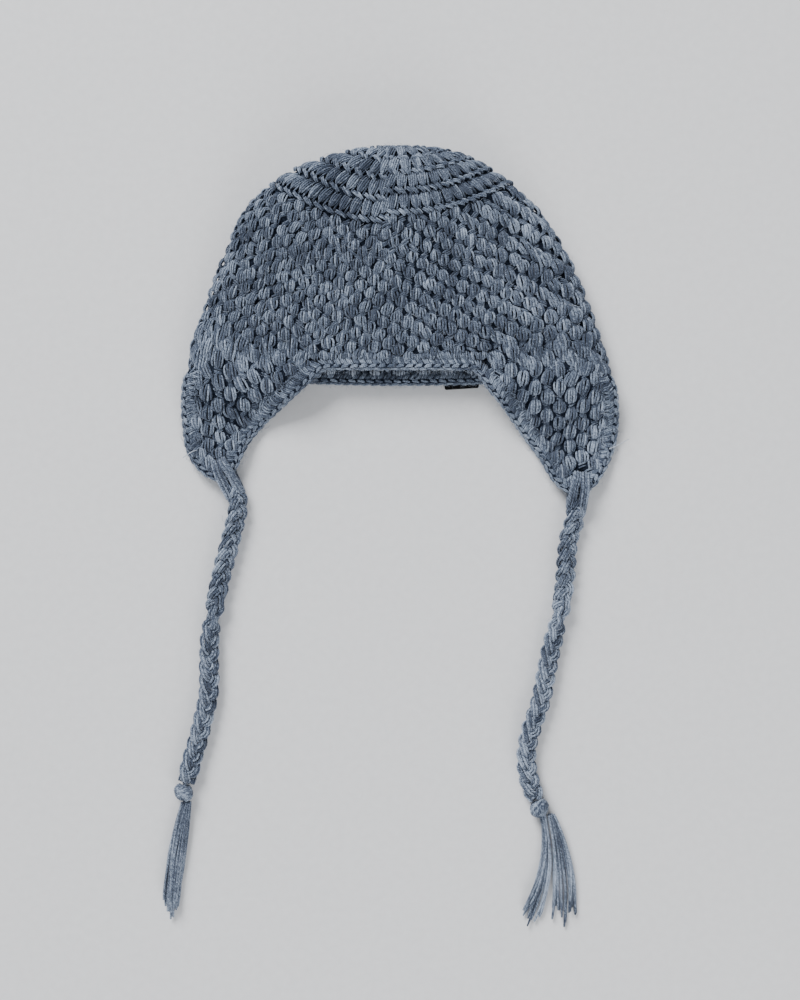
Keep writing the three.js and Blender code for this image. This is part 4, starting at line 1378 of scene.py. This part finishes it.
def border_fabric():
    """Plies wrapped over the edge, the chain along it, and the core that they lie on."""
    line, side, normals = (looped(data) for data in (BORDER, BORDER_AWAY, BORDER_FACE))
    lengths = lengths_of(line)
    random = draws(31)
    plies = Plies()

    def frame_at(places):
        places = places % lengths[-1]
        point, aside, face = (along_line(data, lengths, places) for data in (line, side, normals))
        return point, unit(aside), unit(face)

    def spot(places, sideways, out):
        point, aside, face = frame_at(places)
        sideways, out = (np.broadcast_to(value, len(places))[:, None] for value in (sideways, out))
        return point + aside * sideways + face * out

    where = border_places(BORDER_STITCH)
    count = len(where)
    face = frame_at(where)[2]
    tint = random.uniform(0.2, 0.8, count)
    for ply in range(3):
        here = where + (ply - 1) * 0.90
        rough = random.normal(0, 0.14, count)
        lift = -0.25 if ply != 1 else 0.0
        for hand in (1, -1):
            controls = [
                spot(here - 1.7, -3.9, hand * 0.2 + rough),
                spot(here - 1.3, -2.7, hand * (2.15 + lift + rough)),
                spot(here - 0.1, -1.0, hand * (2.25 + lift + rough)),
                spot(here + 0.5, 0.1, hand * 0.5 + rough),
            ]
            plies.lay(random, controls, face * hand, 0.46, (0.88, 1.1), tint, (0.05, 0.28))
    # the chain along the very edge: on each face two rows of leaves, one tucked into the next
    where = border_places(CHAIN_STITCH)
    count = len(where)
    _, aside, face = frame_at(where)
    for hand in (1, -1):
        for leg, (base, level, skew) in enumerate(((0.20, 1.60, 0.50), (1.62, 0.95, -0.50))):
            here = where + (leg - 0.5) * 1.2
            tint = random.uniform(0.3, 0.9, count)
            for ply in range(3):
                near = (ply - 1) * 0.52 + random.normal(0, 0.05, count)
                rise = hand * (level + 0.70 - 0.12 * abs(ply - 1))
                controls = [
                    spot(here - 3.0, base + near * 0.3 + skew, hand * (level - 1.2)),
                    spot(here - 1.4, base + near + skew * 0.5, rise),
                    spot(here + 1.2, base + near - skew * 0.5, rise),
                    spot(here + 2.8, base + near * 0.3 - skew, hand * (level - 1.0)),
                ]
                plies.lay(random, controls, aside * 0.5 + face * hand * 0.5, 0.38, (0.9, 1.1),
                          tint, (0.05, 0.2))
    border = plies.piece("rim_border", WOOL, rings=6)
    # the core is near-black wool: painted shade seen between the border's plies
    core = yarns("border_core", [(BORDER[::3], 1.85, 0.2)], PAINTED_SHADE_WOOL, sides=8, closed=True)
    return joined("rim_border", [border, core])


def border_row():
    """The row of small stitches between the fabric and its border, on both faces."""
    length = lengths_of(looped(BORDER))[-1]
    plies = Plies()
    random = draws(32)
    for hand, shift in ((1, 0.0), (-1, 0.5)):
        where = border_places(ROW_STITCH, shift)
        pick = (where / length * len(BORDER)).astype(int) % len(BORDER)
        at_front_rim = (BORDER[pick, 2] > 10) & (np.abs(BORDER[pick, 0]) < 40)
        pick = pick[~at_front_rim]
        points = BORDER[pick] - BORDER_AWAY[pick] * 3.4 + BORDER_FACE[pick] * hand * 1.6
        spots = Spots(points, BORDER_FACE[pick] * hand, -BORDER_AWAY[pick], ROW_STITCH, 5.3)
        bumps(plies, spots, random, sunk=0.35)
    return plies.piece("border_row_stitches", WOOL, rings=6)


# ---------------- loops of the ties, tab, tails

LOOP_LOW, LOOP_HIGH = 1.45, 9.2
LOOP_OVER = 3.6           # how far the loop reaches past the braid's start


def tie_loop(side):
    """Two bundles looped through the eyelet and round the border, where the tie starts."""
    hole = np.array([*TIE_HOLE[side], 0.0])
    along = np.array([*TIE_START[side], 0.0]) - hole
    length = np.linalg.norm(along)
    along = along / length
    length = length + LOOP_OVER
    across = to_left(along)
    middle_height = (LOOP_LOW + LOOP_HIGH) / 2
    # out along the loop and height: up out of the eyelet, over the border, back underneath
    profile = np.array([
        (-0.4, middle_height), (0.4, LOOP_HIGH - 2.3), (2.4, LOOP_HIGH - 0.5),
        (length * 0.40, LOOP_HIGH), (length * 0.60, LOOP_HIGH - 0.7),
        (length * 0.76, middle_height + 2.1), (length * 0.90, middle_height + 1.0),
        (length, middle_height - 0.1), (length * 0.90, middle_height - 1.2),
        (length * 0.76, middle_height - 2.2), (length * 0.60, LOOP_LOW + 0.6),
        (length * 0.40, LOOP_LOW), (2.2, LOOP_LOW + 0.2), (0.2, LOOP_LOW + 1.4)])
    random = draws(71, side)
    bundles = []
    for bundle in (-1, 1):
        heart = []
        for out, z in profile:
            share = np.clip(out / length, 0, 1)
            spread = bundle * (1.6 + 1.15 * smooth_step(0.0, 0.45, share))
            heart.append(hole + along * out + across * spread + np.array([0, 0, z]))
        heart = smooth_line(heart + heart[:1], 6)[:-1]
        outward = unit(np.cross(across[None], ring_headings(heart)))
        run = lengths_of(heart)
        turn = 0.4 * bundle * np.sin(2 * math.pi * run / run[-1]) + 0.2 * bundle
        for aside, above in STRAND_YARNS:
            apart = (aside * np.cos(turn) - above * np.sin(turn))[:, None]
            lifted = (aside * np.sin(turn) + above * np.cos(turn))[:, None] * 0.75
            path = heart + across * apart - outward * lifted
            path[:, 2] = np.maximum(path[:, 2] + random.normal(0, 0.05), 0.75)
            bundles.append((path, 0.60 * random.uniform(0.92, 1.08), random.uniform(0.1, 1.0)))
    return yarns("tie_loop_yarns_%s" % side, bundles, WOOL_TIES, sides=6, closed=True)


def label_tab():
    """A plain tab of cloth with soft edges, under the edge of the back rim."""
    rim_y = rim_station(LABEL["across"], False, GAP + EDGING_WIDE)[0][1]
    mesh = bpy.data.meshes.new("label_tab")
    work = bmesh.new()
    bmesh.ops.create_cube(work, size=1.0)
    centre = placed([LABEL["x"], rim_y - LABEL["showing"] + LABEL["long"] / 2,
                     LABEL["lift"] + LABEL["thick"] / 2])
    turn = math.radians(LABEL["askew"])
    for vertex in work.verts:
        aside, along = vertex.co.x * LABEL["wide"] * MM, vertex.co.y * LABEL["long"] * MM
        vertex.co.x = aside * math.cos(turn) - along * math.sin(turn) + centre[0]
        vertex.co.y = aside * math.sin(turn) + along * math.cos(turn) + centre[1]
        vertex.co.z = vertex.co.z * LABEL["thick"] * MM + centre[2]
    bmesh.ops.bevel(work, geom=list(work.edges), offset=0.35 * MM, segments=3, affect="EDGES")
    work.to_mesh(mesh)
    work.free()
    mesh.materials.append(LABEL_CLOTH)
    return shown("label_tab", mesh)


# Tails of yarn left at the tips of the flaps, from the inner end over the edge to the free end
TAILS = [[(-101.0, -66.2, 4.6), (-103.4, -67.1, 7.4), (-105.8, -68.6, 6.6), (-108.2, -69.9, 5.2)],
         [(103.4, -65.6, 5.0), (106.6, -64.2, 7.6), (110.2, -62.3, 6.4), (113.2, -60.7, 4.8)]]


def yarn_tails():
    return yarns("yarn_tails", [(smooth_line(tail, 8), 0.2, 1.0) for tail in TAILS],
                 PALE_FIBRE, sides=6)


def stray_fibres():
    """Fine hairs that stand off the wool."""
    random = draws(91)
    fabric = ([merged(body_spots(True))] + [flap_rows(side, 1) for side in SIDES]
              + [crown_spots(number, 0.4) for number in range(len(CROWN_STITCHES))])
    places = [(spots.points, spots.outward, spots.across) for spots in fabric]
    edge, face = BORDER_AWAY[::2], BORDER_FACE[::2]
    places.append((BORDER[::2] + edge * 1.6, unit(edge + 0.5 * face), BORDER_AHEAD[::2]))
    for side in SIDES:
        route = braid_path(side)[0][::3]
        ahead = headings(route)
        around = random.uniform(-0.2 * math.pi, 1.2 * math.pi, len(route))[:, None]
        out = to_left(ahead) * np.cos(around) + UP * np.sin(around)
        places.append((route + out * 3.2, out, ahead))
    roots, outward, aside = (np.concatenate(data) for data in zip(*places))
    lines, radii = [], []
    for _ in range(2):
        for root, out, beside in zip(roots, outward, aside):
            other = np.cross(out, beside)
            turn = random.uniform(0, 2 * math.pi)
            way = beside * math.cos(turn) + other * math.sin(turn)
            start = root + beside * random.normal(0, 1.4) + other * random.normal(0, 1.6)
            reach, rise = random.uniform(1.0, 3.6), random.uniform(0.5, 1.7)
            curl = np.cross(way, out) * random.normal(0, 0.9)
            hair = np.array([start - out * 0.6,
                             start + way * reach * 0.3 + out * (rise * 0.7 - 0.1),
                             start + way * reach * 0.7 + out * rise + curl * 0.4,
                             start + way * reach + out * (rise + random.normal(0, 0.4)) + curl])
            hair[:, 2] = np.maximum(hair[:, 2], 0.12)
            lines.append(hair)
            radii.append(random.uniform(0.035, 0.06))
    tints = random.uniform(0.3, 1.0, len(lines))
    return yarns("stray_fibres", zip(lines, radii, tints), PALE_FIBRE, sides=3)


# ---------------- making the pieces

front_piece, strand_piece, back_piece, inner_piece = body_fabric()
dress(front_piece, "cap_body")
dress(strand_piece)
dress(back_piece, "cap_body")
dress(inner_piece)
dress(cap_shell())
dress(crown_fabric(), "crown")
for side_name in SIDES:
    dress(flap_fabric(side_name), "ear_flap_%s" % side_name)
    dress(flap_core(side_name))
    dress(tie_loop(side_name), "tie_loop_%s" % side_name)
dress(border_fabric(), "rim_edging")
dress(border_row())
dress(yarn_tails())
dress(stray_fibres())
dress(label_tab(), "label", slot="label_cloth")

# ---------------- floor and light

floor_mesh = bpy.data.meshes.new("floor")
floor_mesh.from_pydata([(-3, -3, 0), (3, -3, 0), (3, 3, 0), (-3, 3, 0)], [], [(0, 1, 2, 3)])
floor_mesh.materials.append(floor_paper())
floor = shown("floor", floor_mesh)

LIT_POINT = Vector((0, -0.05, 0))


def area_light(name, at, size, power):
    data = bpy.data.lights.new(name, "AREA")
    data.size = size
    data.energy = power
    lamp = shown(name, data)
    lamp.location = at
    lamp.rotation_euler = (LIT_POINT - Vector(at)).to_track_quat("-Z", "Y").to_euler()


area_light("soft key", (-1.25, 2.25, 1.9), 1.5, 156)
area_light("fill", (0.5, -1.8, 0.80), 1.2, 30)
world = bpy.data.worlds.new("pale studio")
world.use_nodes = True
world.node_tree.nodes["Background"].inputs[0].default_value = (0.95, 0.97, 1.0, 1)
world.node_tree.nodes["Background"].inputs[1].default_value = 0.37
bpy.context.scene.world = world
